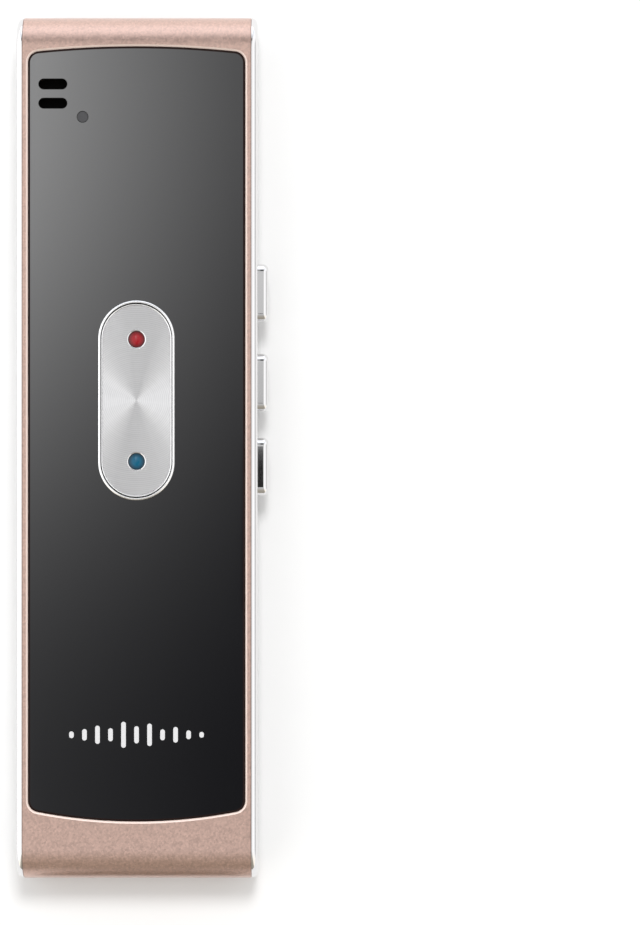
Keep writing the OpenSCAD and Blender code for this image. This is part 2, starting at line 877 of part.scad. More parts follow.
module rocker_plate() {
    hole_r = lens_d / 2 + lens_gap;
    color("whitesmoke")
        difference() {
            translate([0, rocker_y, plate_z0])
                linear_extrude(plate_t)
                    pill(
                        key_len - 2 * (rocker_rim + plate_gap), key_w - 2 * (rocker_rim + plate_gap)
                    );
            for (end = [-1, 1])
                translate([0, rocker_y + end * lens_offset, 0]) {
                    translate([0, 0, plate_z0 - over])
                        cylinder(plate_t + 2 * over, r = hole_r);
                    translate([0, 0, plate_z1 - lens_chamfer])
                        cylinder(lens_chamfer + over, hole_r, hole_r + lens_chamfer + over);
                }
        }
}

module key_lens(end) {
    translate([0, rocker_y + end * lens_offset, 0]) {
        translate([0, 0, web_z0 - lens_flange_t])
            cylinder(plate_z1 - lens_chamfer - web_z0 + lens_flange_t, d = lens_d);
        translate([0, 0, web_z0 - lens_flange_t])
            cylinder(lens_flange_t, d = lens_d + 2 * lens_flange);
    }
}

module red_lens() color("crimson") key_lens(1);
module blue_lens() color("steelblue") key_lens(-1);

module rocker_pivot_pin() {
    color("silver")
        translate([-pin_len / 2, rocker_y, pin_z])
            rotate([0, 90, 0])
                cylinder(pin_len, d = pin_d);
}

module rocker_bracket() {
    half = ear_in + bracket_t;
    color("darkgray")
        translate([0, rocker_y, 0])
            difference() {
                translate([-half, -ear_w / 2, board_z1])
                    cube([2 * half, ear_w, pin_z + pin_d / 2 + ear_top - board_z1]);
                translate([-ear_in, -ear_w / 2 - over, board_z1 + bracket_t])
                    cube([2 * ear_in, ear_w + 2 * over, cavity_h]);
                translate([-half - over, 0, pin_z])
                    rotate([0, 90, 0])
                        cylinder(2 * (half + over), r = pin_d / 2 + pin_seat_gap);
            }
}

module return_dome(end) {
    h = key_z0 - dome_gap - board_z1;
    color("whitesmoke")
        translate([0, rocker_y + end * dome_offset, board_z1])
            difference() {
                union() {
                    translate([-dome_base / 2, -dome_base / 2, 0])
                        cube([dome_base, dome_base, dome_base_t]);
                    cylinder(h, dome_r0, dome_r1);
                }
                translate([0, 0, -over])
                    cylinder(dome_base_t + over, r = dome_r0 - dome_wall);
                translate([0, 0, dome_base_t])
                    cylinder(h - dome_base_t - 2 * dome_wall, dome_r0 - dome_wall, dome_r1 - dome_wall);
            }
}

module upper_return_dome() return_dome(1);
module lower_return_dome() return_dome(-1);

// ---- Microphone and indicator ----

module indicator_light_guide() {
    color("slategray")
        translate([indicator_x, indicator_y, 0]) {
            translate([0, 0, guide_z0])
                cylinder(glass_z1 - guide_sink - guide_z0, d = indicator_d);
            translate([0, 0, front_in - guide_lip_t])
                cylinder(guide_lip_t, d = indicator_d + 2 * guide_lip);
        }
}

module microphone_mesh() {
    color([0.05, 0.05, 0.05])
        translate([slot_x - mic_boot_w / 2, mic_y - mic_boot_len / 2, mic_mesh_z])
            cube([mic_boot_w, mic_boot_len, mic_mesh_t]);
}

module microphone_boot() {
    boot_h = mic_mesh_z - board_z1;
    color([0.15, 0.15, 0.15])
        translate([slot_x, mic_y, board_z1])
            difference() {
                translate([-mic_boot_w / 2, -mic_boot_len / 2, 0])
                    cube([mic_boot_w, mic_boot_len, boot_h]);
                translate([
                    -capsule_size[0] / 2 - capsule_gap, -capsule_size[1] / 2 - capsule_gap, -over
                ])
                    cube([
                        capsule_size[0] + 2 * capsule_gap, capsule_size[1] + 2 * capsule_gap,
                        capsule_size[2] + capsule_gap + over
                    ]);
                cylinder(boot_h, r = mic_port_r);
                translate([-mic_chamber[0] / 2, -mic_chamber[1] / 2, boot_h - mic_chamber[2]])
                    cube([mic_chamber[0], mic_chamber[1], mic_chamber[2] + over]);
            }
}

module microphone_capsule() {
    port_r = 0.3;
    color("gold")
        difference() {
            on_board([slot_x, mic_y], capsule_size);
            translate([slot_x, mic_y, board_z1 + capsule_size[2] / 2])
                cylinder(capsule_size[2], r = port_r);
        }
}

// ---- Frame and boards ----

module inner_chassis() {
    h = board_z0 - back_in;
    color("dimgray")
        difference() {
            intersection() {
                translate([-frame_x, -frame_y, back_in])
                    cube([2 * frame_x, 2 * frame_y, h]);
                chassis_walls(h);
            }
            translate([0, speaker_y, back_in - over])
                cylinder(h + 2 * over, r = ring_r);
            translate([side_board_x, bay_y0, back_in - over])
                cube([side_x, bay_y1 - bay_y0, h + 2 * over]);
            for (spot = screw_spots)
                translate([spot[0], spot[1], board_z0 - screw_len])
                    cylinder(screw_len + over, d = screw_d + 2 * screw_gap);
        }
}

// Rails, bars, the bay wall behind the side switches and the low ring round the speaker
module chassis_walls(h) {
    for (side = [-1, 1])
        translate([side > 0 ? rail_in : -frame_x, -frame_y, back_in])
            cube([chassis_wall, 2 * frame_y, h]);
    translate([bay_rail_in, bay_y0 - chassis_wall, back_in])
        cube([frame_x - bay_rail_in, bay_y1 - bay_y0 + 2 * chassis_wall, h]);
    for (y = [low_bar_y, mid_bar_y, end_bar_y])
        translate([-frame_x, y - bar_w / 2, back_in])
            cube([2 * frame_x, bar_w, h]);
    translate([0, speaker_y, back_in])
        cylinder(ring_h, r = ring_r + ring_wall);
}

module main_board() {
    slots = [[connector_at[0], battery_lead_y], [0, speaker_lead_y]];
    color("seagreen")
        difference() {
            translate([-board_x, board_y0, board_z0])
                cube([2 * board_x, frame_y - board_y0, board_t]);
            translate([board_notch_x, bay_y0, board_z0 - over])
                cube([board_x, bay_y1 - bay_y0, board_t + 2 * over]);
            for (spot = screw_spots)
                translate([spot[0], spot[1], board_z0 - over])
                    cylinder(board_t + 2 * over, d = screw_d + 2 * screw_gap);
            for (at = slots)
                translate([at[0] - cable_slot[0] / 2, at[1] - cable_slot[1] / 2, board_z0 - over])
                    cube([cable_slot[0], cable_slot[1], board_t + 2 * over]);
        }
}

module board_screws() {
    socket_r = 0.5;
    socket_depth_in = 0.3;
    color("silver")
        for (spot = screw_spots)
            translate([spot[0], spot[1], board_z1])
                difference() {
                    union() {
                        cylinder(screw_head_h, d = screw_head_d);
                        translate([0, 0, -board_t - screw_len + screw_gap])
                            cylinder(board_t + screw_len - screw_gap, d = screw_d);
                    }
                    translate([0, 0, screw_head_h - socket_depth_in])
                        cylinder(socket_depth_in + over, r = socket_r, $fn = 6);
                }
}

module processor_chip() color([0.1, 0.1, 0.11]) chip(processor_at, processor_size);
module memory_chip() color([0.1, 0.1, 0.11]) chip(memory_at, memory_size);
module amplifier_chip() color([0.1, 0.1, 0.11]) chip(amplifier_at, amplifier_size);
module charging_chip() color([0.1, 0.1, 0.11]) chip(charger_at, charger_size);
module power_inductor() color("gray") on_board(inductor_at, inductor_size);
module radio_antenna() color("white") on_board(antenna_at, antenna_size);
module crystal() color("silver") on_board(crystal_at, crystal_size);

module radio_shield_can() {
    can_wall = 0.2;
    color("silver")
        difference() {
            on_board(can_at, can_size);
            translate([
                can_at[0] - can_size[0] / 2 + can_wall, can_at[1] - can_size[1] / 2 + can_wall,
                board_z1 - over
            ])
                cube([
                    can_size[0] - 2 * can_wall, can_size[1] - 2 * can_wall, can_size[2] - can_wall + over
                ]);
        }
}

module board_capacitors() {
    color("tan")
        for (row = [0 : capacitor_rows - 1], side = [0, 1])
            on_board(
                [capacitor_start[0] + side * capacitor_pitch, capacitor_start[1] - row * capacitor_pitch],
                capacitor_size
            );
}

module red_led() color("red") on_board([0, rocker_y + lens_offset], led_size);
module blue_led() color("blue") on_board([0, rocker_y - lens_offset], led_size);
module indicator_led() color("white") on_board([indicator_x, indicator_y], led_size);

// ---- Battery ----

module battery_cell() {
    w = battery_x1 - battery_x0;
    h = battery_z1 - battery_z0;
    color("lightsteelblue")
        translate([(battery_x0 + battery_x1) / 2, battery_y1, (battery_z0 + battery_z1) / 2])
            rotate([90, 0, 0])
                linear_extrude(battery_y1 - battery_y0)
                    round_rect(w, h, battery_r);
}

module battery_tape() {
    inset = 3;
    color("white")
        translate([battery_x0 + inset, battery_y0 + inset, back_in])
            cube([battery_x1 - battery_x0 - 2 * inset, battery_y1 - battery_y0 - 2 * inset, tape_t]);
}

module battery_protection_board() {
    color("darkgreen")
        translate([
            (battery_x0 + battery_x1 - guard_w) / 2, battery_y1,
            (battery_z0 + battery_z1 - guard_h) / 2
        ])
            cube([guard_w, guard_t, guard_h]);
}

module battery_leads() {
    color("red")
        for (side = [-1, 1])
            lead(
                connector_at[0] + side * lead_pitch / 2, battery_y1 + guard_t,
                (battery_z0 + battery_z1) / 2, battery_lead_y,
                board_z1 + connector_size[2] / 2, connector_at[1] - connector_size[1] / 2
            );
}

module battery_connector() color("ivory") on_board(connector_at, connector_size);

// ---- Speaker ----

module speaker_mesh() {
    color("gray")
        translate([0, speaker_y, back_in])
            cylinder(mesh_t, r = mesh_r);
}

module speaker_gasket() {
    color([0.1, 0.1, 0.1])
        translate([0, speaker_y, back_in])
            difference() {
                cylinder(gasket_t, r = speaker_r);
                translate([0, 0, -over])
                    cylinder(gasket_t + 2 * over, r = speaker_r - gasket_w);
            }
}

module speaker_frame() {
    lid_t = 0.6;
    color("darkslategray")
        translate([0, speaker_y, speaker_z0])
            difference() {
                union() {
                    cylinder(flange_h, r = speaker_r);
                    cylinder(basket_z1 - speaker_z0, r = basket_r);
                }
                translate([0, 0, -over])
                    cylinder(basket_z1 - speaker_z0 - lid_t + over, r = basket_r - basket_wall);
                cylinder(cavity_h, r = magnet_r + fit_gap);
            }
}

module speaker_cone() {
    rim_r = basket_r - basket_wall - fit_gap;
    slope_r = rim_r - cone_rim_w;
    top = cone_rise + cone_t;
    color("darkgray")
        translate([0, speaker_y, cone_z0])
            rotate_extrude()
                polygon([
                    [0, cone_rise], [coil_r, cone_rise], [slope_r, 0], [rim_r, 0],
                    [rim_r, cone_t], [slope_r, cone_t], [coil_r, top], [0, top]
                ]);
}

module speaker_coil() {
    color("peru")
        translate([0, speaker_y, cone_z0 + cone_rise + cone_t])
            difference() {
                cylinder(coil_h, r = coil_r);
                translate([0, 0, -over])
                    cylinder(coil_h + 2 * over, r = coil_r - coil_wall);
            }
}

module speaker_magnet() {
    color("silver")
        translate([0, speaker_y, magnet_z0])
            cylinder(speaker_z1 - magnet_z0, r = magnet_r);
}

module speaker_leads() {
    reach = 1.6;
    color("black")
        for (side = [-1, 1])
            lead(
                side * lead_pitch / 2, speaker_y + basket_r,
                (speaker_z0 + flange_h + basket_z1) / 2, speaker_lead_y,
                board_z1 + lead_d / 2, speaker_lead_y + lead_bend + reach
            );
}

// ---- Charging socket ----

module charging_socket_shell() {
    color("silver")
        translate([0, socket_y1, socket_z1])
            rotate([90, 0, 0])
                difference() {
                    linear_extrude(socket_depth)
                        socket_outline(0);
                    translate([0, 0, socket_wall])
                        linear_extrude(socket_depth)
                            translate([0, -socket_wall])
                                socket_mouth();
                }
}

// Hollow of the socket, drawn with its top at 0
module socket_mouth() {
    w = socket_w / 2 - socket_wall;
    low = 2 * socket_wall - socket_h;
    polygon([
        [-w, 0], [w, 0], [w, low + socket_cant], [w - socket_cant, low],
        [socket_cant - w, low], [-w, low + socket_cant]
    ]);
}

module charging_socket_tongue() {
    back_gap = 0.02;
    base_w = socket_w - 2 * socket_wall - 2 * socket_cant;
    base_h = socket_h - 2 * socket_wall - 2 * back_gap;
    color([0.1, 0.1, 0.1])
        translate([0, socket_y1 - socket_wall - tongue_base, socket_z1 - socket_wall - back_gap]) {
            translate([-base_w / 2, 0, -base_h])
                cube([base_w, tongue_base, base_h]);
            translate([-tongue_size[0] / 2, -tongue_size[1], -(base_h + tongue_size[2]) / 2])
                cube([tongue_size[0], tongue_size[1] + tongue_base / 2, tongue_size[2]]);
        }
}

shell_sleeve();
front_glass();
glass_adhesive();
left_side_trim();
right_side_trim();
rocker_bezel();
rocker_carrier();
rocker_plate();
red_lens();
blue_lens();
rocker_pivot_pin();
rocker_bracket();
upper_return_dome();
lower_return_dome();
volume_up_button();
volume_down_button();
power_button();
volume_up_plunger();
volume_down_plunger();
power_plunger();
volume_up_switch();
volume_down_switch();
power_switch();
side_switch_board();
side_switch_ribbon();
indicator_light_guide();
microphone_mesh();
microphone_boot();
microphone_capsule();
inner_chassis();
main_board();
board_screws();
processor_chip();
memory_chip();
radio_shield_can();
radio_antenna();
crystal();
amplifier_chip();
charging_chip();
power_inductor();
board_capacitors();
red_led();
blue_led();
indicator_led();
battery_cell();
battery_tape();
battery_protection_board();
battery_leads();
battery_connector();
speaker_mesh();
speaker_gasket();
speaker_frame();
speaker_cone();
speaker_coil();
speaker_magnet();
speaker_leads();
charging_socket_shell();
charging_socket_tongue();
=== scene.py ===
"""Looks of the handheld translator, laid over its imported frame."""

import json
from math import atan2, cos, hypot, pi, radians, sin, sqrt

import bmesh
import bpy
from bpy.props import FloatProperty, FloatVectorProperty, PointerProperty
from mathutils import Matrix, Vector


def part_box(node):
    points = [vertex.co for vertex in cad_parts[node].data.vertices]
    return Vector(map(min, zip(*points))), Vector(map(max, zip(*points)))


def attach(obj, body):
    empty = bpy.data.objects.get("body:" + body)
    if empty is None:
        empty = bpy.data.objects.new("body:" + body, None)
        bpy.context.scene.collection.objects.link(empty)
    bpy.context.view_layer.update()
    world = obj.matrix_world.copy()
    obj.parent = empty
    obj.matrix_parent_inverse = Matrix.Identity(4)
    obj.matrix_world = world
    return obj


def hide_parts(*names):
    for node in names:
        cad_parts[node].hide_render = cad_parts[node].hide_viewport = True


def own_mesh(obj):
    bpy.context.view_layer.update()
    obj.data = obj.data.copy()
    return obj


bl_info = {
    "name": "Handheld translator",
    "version": (1, 0, 0),
    "blender": (4, 5, 0),
    "location": "3D View > Sidebar > Translator",
    "description": "Rose-gold voice translator with a glass front and a pill-shaped talk key",
    "category": "Object",
}

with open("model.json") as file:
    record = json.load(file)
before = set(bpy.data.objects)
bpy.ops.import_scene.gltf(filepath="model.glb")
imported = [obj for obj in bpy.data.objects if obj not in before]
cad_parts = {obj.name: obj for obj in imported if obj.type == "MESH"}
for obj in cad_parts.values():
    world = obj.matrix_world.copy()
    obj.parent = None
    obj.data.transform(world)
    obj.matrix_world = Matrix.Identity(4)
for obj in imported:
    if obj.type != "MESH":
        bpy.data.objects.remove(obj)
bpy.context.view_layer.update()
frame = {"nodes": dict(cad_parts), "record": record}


# ---- Settings ----


def size(name, text, metres, least=0):
    """A length that a user can change."""
    return FloatProperty(
        name=name, description=text, default=metres, min=least, precision=5, unit="LENGTH", subtype="DISTANCE"
    )


def tint(name, text, colour):
    """A colour that a user can change."""
    return FloatVectorProperty(name=name, description=text, default=colour, min=0, max=1, subtype="COLOR")


def share(name, text, value, top=10.0):
    """A plain number that a user can change."""
    return FloatProperty(name=name, description=text, default=value, min=0, max=top, subtype="FACTOR")


class ShellSizes(bpy.types.PropertyGroup):
    width: size("Width", "Across the metal shell, between the trims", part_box("shell_sleeve")[1][0] * 2)
    length: size("Length", "From end to end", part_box("shell_sleeve")[1][1] * 2)
    thickness: size("Thickness", "From the back to the front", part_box("shell_sleeve")[1][2])
    end_radius: size("End radius", "Rounding of the two ends, seen from the side", 0.0052)
    back_wall: size("Back wall", "Thickness of the metal behind the works", 0.001)
    front_inside: size("Front inside", "Height of the inner face of the front wall", 0.0093)
    hollow_length: size("Hollow length", "Length of the space inside", 0.1376)
    hollow_radius: size("Hollow radius", "Rounding of the space inside", 0.004)
    pocket_floor: size("Pocket floor", "Height of the seat that the glass is stuck to", 0.0101)
    cut: size("Bright cut", "Width of the bright bevel round the glass", 0.0003)
    soft_edge: size("Soft edge", "Rounding of the sharp metal edges", 0.00005)


class GrilleSizes(bpy.types.PropertyGroup):
    centre: size("Centre", "Middle of the speaker above the middle of the shell", 0.0402)
    radius: size("Radius", "Radius of the field of holes", 0.0145)
    pitch: size("Pitch", "From hole to hole", 0.0027)
    hole: size("Hole", "Diameter of a hole", 0.001)
    sink: size("Countersink", "Width of the bevel round a hole", 0.00007)


class GlassSizes(bpy.types.PropertyGroup):
    width: size("Width", "Across the glass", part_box("front_glass")[1][0] * 2)
    top: size("Top", "Highest point of the upper arc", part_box("front_glass")[1][1])
    bottom: size("Bottom", "Lowest point of the lower arc, below the middle", -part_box("front_glass")[0][1])
    under: size("Underside", "Height of the underside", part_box("front_glass")[0][2])
    face: size("Face", "Height of the polished face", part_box("front_glass")[1][2])
    top_radius: size("Upper arc", "Radius of the upper edge", 0.157)
    bottom_radius: size("Lower arc", "Radius of the lower edge", 0.084)
    corner: size("Corner", "Radius of the four corners", 0.0018)
    gap: size("Gap", "Gap between the glass and the metal", 0.00005)
    edge: size("Edge", "Rounding of the edge of the glass", 0.00032)
    slot_x: size("Slot middle", "Middle of the microphone slots, left of the centre line", 0.0135)
    slot_high: size("Upper slot", "Middle of the upper slot", 0.0587)
    slot_low: size("Lower slot", "Middle of the lower slot", 0.0556)
    slot_length: size("Slot length", "Length of a microphone slot", 0.0046)
    slot_width: size("Slot width", "Width of a microphone slot", 0.00167)
    light_x: size("Light middle", "Middle of the indicator, left of the centre line", 0.0087)
    light_y: size("Light height", "Middle of the indicator along the glass", 0.0534)
    light: size("Light diameter", "Diameter of the indicator", 0.0017)


class TrimSizes(bpy.types.PropertyGroup):
    thickness: size("Thickness", "How far a trim stands beside the shell", 0.0011)
    edge: size("Edge", "Rounding of the outer edge", 0.001)
    groove: size("Groove", "Fine groove between a trim and the shell", 0.00015)
    rim_depth: size("Rim depth", "How far the rim reaches into the shell", 0.0015)
    rim_wall: size("Rim wall", "Wall of the rim inside the shell", 0.0008)
    rim_gap: size("Rim gap", "Gap round the rim", 0.0001)


class ButtonSizes(bpy.types.PropertyGroup):
    length: size("Length", "Length of a side button", 0.0094)
    height: size("Height", "Height of a side button", 0.0042)
    corner: size("Corner", "Radius of its corners", 0.0014)
    edge: size("Edge", "Rounding of its outer edge", 0.0008)
    gap: size("Gap", "Gap round it in the trim", 0.00012)
    flange: size("Flange", "How far its flange stands out behind the trim", 0.0004)
    flange_depth: size("Flange depth", "Thickness of the flange", 0.0006)
    nub: size("Nub", "Diameter of the nub that presses the switch", 0.0012)


class KeySizes(bpy.types.PropertyGroup):
    middle: size("Middle", "Middle of the talk key above the middle of the shell", 0.00765)
    ring: size("Ring", "Width of the bright ring round the key", 0.0004)
    ring_land: size("Ring land", "Flat left on top of the ring", 0.0001)
    sleeve: size("Sleeve", "Wall of the ring's sleeve through the glass", 0.0002)
    rim: size("Rim", "Width of the key's own rim round its face", 0.0002)
    wall: size("Wall", "Wall of the key behind its face", 0.0008)
    web: size("Web", "Thickness of the key behind the face plate", 0.00045)
    lens: size("Lens", "Diameter of a lit lens", 0.00265)
    lens_offset: size("Lens offset", "From the middle of the key to a lens", 0.00985)
    lens_gap: size("Lens gap", "Gap round a lens", 0.00005)
    chamfer: size("Chamfer", "Bevel round a lens", 0.00018)
    post: size("Post", "Radius of the posts that press the domes", 0.0015)
    post_offset: size("Post offset", "From the middle of the key to a post", 0.0132)
    pin_height: size("Pin height", "Height of the pin that the key tilts on", 0.00835)
    bore: size("Bore", "Radius of the bore for the pin", 0.00044)
    barrel: size("Barrel", "Radius of the barrel round the bore", 0.0008)
    barrel_half: size("Barrel half", "Half the length of the barrel", 0.0048)


class DomeSizes(bpy.types.PropertyGroup):
    foot: size("Foot", "Width of the square foot of a return dome", 0.0052)
    foot_corner: size("Foot corner", "Radius of the corners of the foot", 0.0003)
    foot_height: size("Foot height", "Thickness of the foot", 0.0003)
    low_radius: size("Low radius", "Radius of a dome at its foot", 0.0022)
    high_radius: size("High radius", "Radius of a dome at its top", 0.0015)
    wall: size("Wall", "Wall of a dome", 0.00035)
    soft: size("Soft edge", "Rounding of the top edge", 0.00015)
    press: size("Press", "How far the talk key presses a dome down", 0.0003)


class MarkSizes(bpy.types.PropertyGroup):
    middle: size("Middle", "Middle of the printed sound bars, below the middle of the shell", 0.0463)
    bar: size("Bar", "Width of one bar", 0.00075)
    pitch: size("Pitch", "From bar to bar", 0.0021)
    height: size("Height", "Height of the tallest bar", 0.0042)
    ink: size("Ink", "Thickness of the print", 0.00001)


class Colours(bpy.types.PropertyGroup):
    shell: tint("Shell", "Anodised rose-gold metal", (0.640, 0.446, 0.380))
    cut: tint("Bright cut", "Freshly cut metal of the bevel", (0.830, 0.680, 0.610))
    glass: tint("Glass", "Black behind the glass", (0.002, 0.002, 0.003))
    edge: tint("Glass edge", "Blacking on the edge of the glass", (0.012, 0.006, 0.005))
    plating: tint("Plating", "Bright plated trims and buttons", (0.770, 0.765, 0.770))
    satin: tint("Satin plating", "Ring round the talk key and rim of the key", (0.960, 0.960, 0.965))
    plate: tint("Key face", "Spun-brushed face of the talk key", (0.750, 0.750, 0.760))
    red: tint("Red lens", "Upper lens", (0.215, 0.005, 0.009))
    blue: tint("Blue lens", "Lower lens", (0.001, 0.068, 0.125))
    ink: tint("Ink", "Printed sound bars", (0.560, 0.560, 0.570))
    board: tint("Board", "Solder mask", (0.012, 0.110, 0.050))


class Studio(bpy.types.PropertyGroup):
    eye_x: size("Eye across", "Camera, right of the centre line", 0.0296)
    eye_y: size("Eye along", "Camera along the shell, above the middle where positive", -0.00237, -1)
    eye_z: size("Eye height", "Camera above the floor", 0.5055)
    lens: FloatProperty(name="Lens", description="Focal length", default=119.3, min=1, unit="CAMERA")
    overhead: share("Overhead", "Radiance straight above", 0.72)
    far_end: share("Far end", "Radiance of the panel beyond the microphone end", 1.65)
    near_end: share("Near end", "Radiance of the panel beyond the other end", 0.38)
    left: share("Left", "Radiance of the left panel", 1.45)
    left_low: share("Left foot", "Radiance of the foot of the left panel", 2.0)
    right: share("Right", "Radiance of the right panel", 1.3)
    right_low: share("Right foot", "Radiance of the foot of the right panel", 0.6)
    dim: share("Dim", "Radiance of the room between the panels", 0.12)
    gap: share("Gap", "Part of the light missing in the gap between the lamps above and beyond", 0.85)
    card: share("Gloss card", "Brightness of the graded card that the glass mirrors", 12.5, 40.0)
    lift: share("Floor lift", "White added to the far floor where it is looked at", 0.3, 1.0)
    key: FloatProperty(name="Key lamp", description="Power of the lamp", default=8.0, min=0, unit="POWER")


# ---- Shapes ----


def arcs(rows, grow):
    """Points along arcs, moved outwards by grow. A row: middle, radius, first and last angle, steps."""
    points = []
    for x, y, radius, start, end, steps in rows:
        for i in range(steps + 1):
            angle = start + (end - start) * i / steps
            points.append((x + (radius + grow) * cos(angle), y + (radius + grow) * sin(angle)))
    return points


def ring_box(width, height, radius, steps=16, grow=0.0):
    """Points round a rectangle with round corners."""
    x, y = width / 2 - radius, height / 2 - radius
    corners = enumerate(((x, y), (-x, y), (-x, -y), (x, -y)))
    return arcs([(*at, radius, turn * pi / 2, (turn + 1) * pi / 2, steps) for turn, at in corners], grow)


def ring_pill(width, length, steps=48, grow=0.0):
    """Points round an upright pill."""
    half = (length - width) / 2
    return arcs([(0, half, width / 2, 0, pi, steps), (0, -half, width / 2, pi, 2 * pi, steps)], grow)


def ring_round(radius, steps=64):
    """Points round a circle."""
    return [(radius * cos(2 * pi * i / steps), radius * sin(2 * pi * i / steps)) for i in range(steps)]


def ring_glass(glass, grow):
    """Points round the glass."""
    corner_steps, arc_steps = 12, 64
    side = glass.width / 2 - glass.corner
    top_middle = glass.top - glass.top_radius
    low_middle = glass.bottom_radius - glass.bottom
    high = top_middle + sqrt((glass.top_radius - glass.corner) ** 2 - side**2)
    low = low_middle - sqrt((glass.bottom_radius - glass.corner) ** 2 - side**2)
    lean = atan2(high - top_middle, side)
    dip = atan2(low_middle - low, side)
    rows = (
        (side, high, glass.corner, 0, lean, corner_steps),
        (0, top_middle, glass.top_radius, lean, pi - lean, arc_steps),
        (-side, high, glass.corner, pi - lean, pi, corner_steps),
        (-side, low, glass.corner, pi, pi + dip, corner_steps),
        (0, low_middle, glass.bottom_radius, pi + dip, 2 * pi - dip, arc_steps),
        (side, low, glass.corner, 2 * pi - dip, 2 * pi, corner_steps),
    )
    return arcs(rows, grow)


def quarter(steps):
    """A quarter round of radius 1 from its foot to its top, as insets and drops from its corner."""
    turns = [pi / 2 * i / steps for i in range(steps + 1)]
    return [(1 - cos(turn), 1 - sin(turn)) for turn in turns]


def level(points, z, x=0.0, y=0.0):
    """Flat points laid at a height."""
    return [(x + px, y + py, z) for px, py in points]


def upright(points, x, y=0.0, z=0.0):
    """Flat points stood across X, at y and z."""
    return [(x, y + py, z + pz) for py, pz in points]


def middle_of(box, axis):
    """The middle of a box along an axis."""
    return (box[0][axis] + box[1][axis]) / 2


def stand(name, data):
    """A new object in the scene."""
    piece = bpy.data.objects.new(name, data)
    bpy.context.scene.collection.objects.link(piece)
    return piece


def skin(name, rings, loop=False):
    """A closed mesh through rings of as many points each; the two end rings are filled unless it loops."""
    form = bmesh.new()
    rows = [[form.verts.new(point) for point in ring] for ring in rings]
    count = len(rows[0])
    pairs = list(zip(rows, rows[1:]))
    if loop:
        pairs.append((rows[-1], rows[0]))
    for one, two in pairs:
        for i in range(count):
            j = (i + 1) % count
            form.faces.new((one[i], one[j], two[j], two[i]))
    if not loop:
        form.faces.new(list(reversed(rows[0])))
        form.faces.new(rows[-1])
    bmesh.ops.remove_doubles(form, verts=form.verts, dist=2e-7)
    bmesh.ops.recalc_face_normals(form, faces=form.faces)
    mesh = bpy.data.meshes.new(name)
    form.to_mesh(mesh)
    form.free()
    return stand(name, mesh)


def plug(ring, ends, x=0.0, y=0.0):
    """A straight plug along Z, to cut with or to add."""
    return skin("plug", [level(ring, z, x, y) for z in ends])


def bar(ring, ends, y=0.0, z=0.0):
    """A straight bar along X, to cut with or to add."""
    return skin("bar", [upright(ring, x, y, z) for x in ends])


def pill_skin(name, node, outline, loop=False):
    """A piece as wide and long as its pill-shaped CAD node, through insets and heights."""
    low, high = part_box(node)
    middle = bpy.context.scene.translator_key.middle
    pills = [(ring_pill(high[0] * 2, high[1] - low[1], grow=-inset), z) for inset, z in outline]
    return skin(name, [level(pill, z, y=middle) for pill, z in pills], loop)


def gather(name, pieces):
    """Several meshes that don't touch, as one."""
    form = bmesh.new()
    for piece in pieces:
        form.from_mesh(piece.data)
        bpy.data.objects.remove(piece)
    mesh = bpy.data.meshes.new(name)
    form.to_mesh(mesh)
    form.free()
    return stand(name, mesh)


def openings(scene, ends, pill_gap, slot_grow, slot_steps):
    """Plugs for what goes through the glass: talk key, two microphone slots and indicator."""
    glass, key = scene.translator_glass, scene.translator_key
    low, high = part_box("rocker_bezel")
    pill = ring_pill(high[0] * 2, high[1] - low[1], grow=key.sleeve - key.ring + pill_gap)
    slot = ring_pill(glass.slot_width, glass.slot_length, slot_steps, slot_grow)
    slot = [(y, x) for x, y in reversed(slot)]
    light = ring_round(glass.light / 2 + glass.gap)
    plugs = [plug(pill, ends, y=key.middle)]
    plugs += [plug(slot, ends, -glass.slot_x, y) for y in (glass.slot_high, glass.slot_low)]
    plugs.append(plug(light, ends, -glass.light_x, glass.light_y))
    return gather("openings", plugs)


def settle(piece):
    """Makes a piece's modifiers part of its mesh."""
    bpy.context.view_layer.update()
    ready = piece.evaluated_get(bpy.context.evaluated_depsgraph_get())
    mesh = bpy.data.meshes.new_from_object(ready)
    mesh.name = piece.name
    piece.modifiers.clear()
    piece.data = mesh


def carve(piece, tool, how="DIFFERENCE"):
    """Cuts a tool out of a piece, or adds it."""
    step = piece.modifiers.new("Carve", "BOOLEAN")
    step.operation = how
    step.solver = "EXACT"
    step.object = tool
    settle(piece)
    bpy.data.objects.remove(tool)
    if not piece.data.polygons:
        raise RuntimeError(f"nothing is left of {piece.name}")


def ease(piece, width=0.0, steps=2):
    """Rounds the sharp edges of a piece a little and shades the rest smoothly."""
    if width:
        soften = piece.modifiers.new("Soften", "BEVEL")
        soften.width = width
        soften.segments = steps
        soften.limit_method = "ANGLE"
        soften.angle_limit = radians(50)
        settle(piece)
    piece.data.shade_smooth()
    piece.data.set_sharp_from_angle(angle=radians(32))
    weigh = piece.modifiers.new("Weigh", "WEIGHTED_NORMAL")
    weigh.keep_sharp = True
    settle(piece)


def hand_over(piece, body, slot, finish_names, *nodes):
    """Gives a piece its finishes and its body, in place of the CAD nodes that it stands for."""
    for name in finish_names:
        piece.data.materials.append(finish_of(name))
    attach(piece, body)
    if nodes:
        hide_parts(*nodes)


# ---- Finishes ----


def shade(tone, factor):
    """A colour made lighter or darker."""
    return tuple(min(1.0, part * factor) for part in tone)


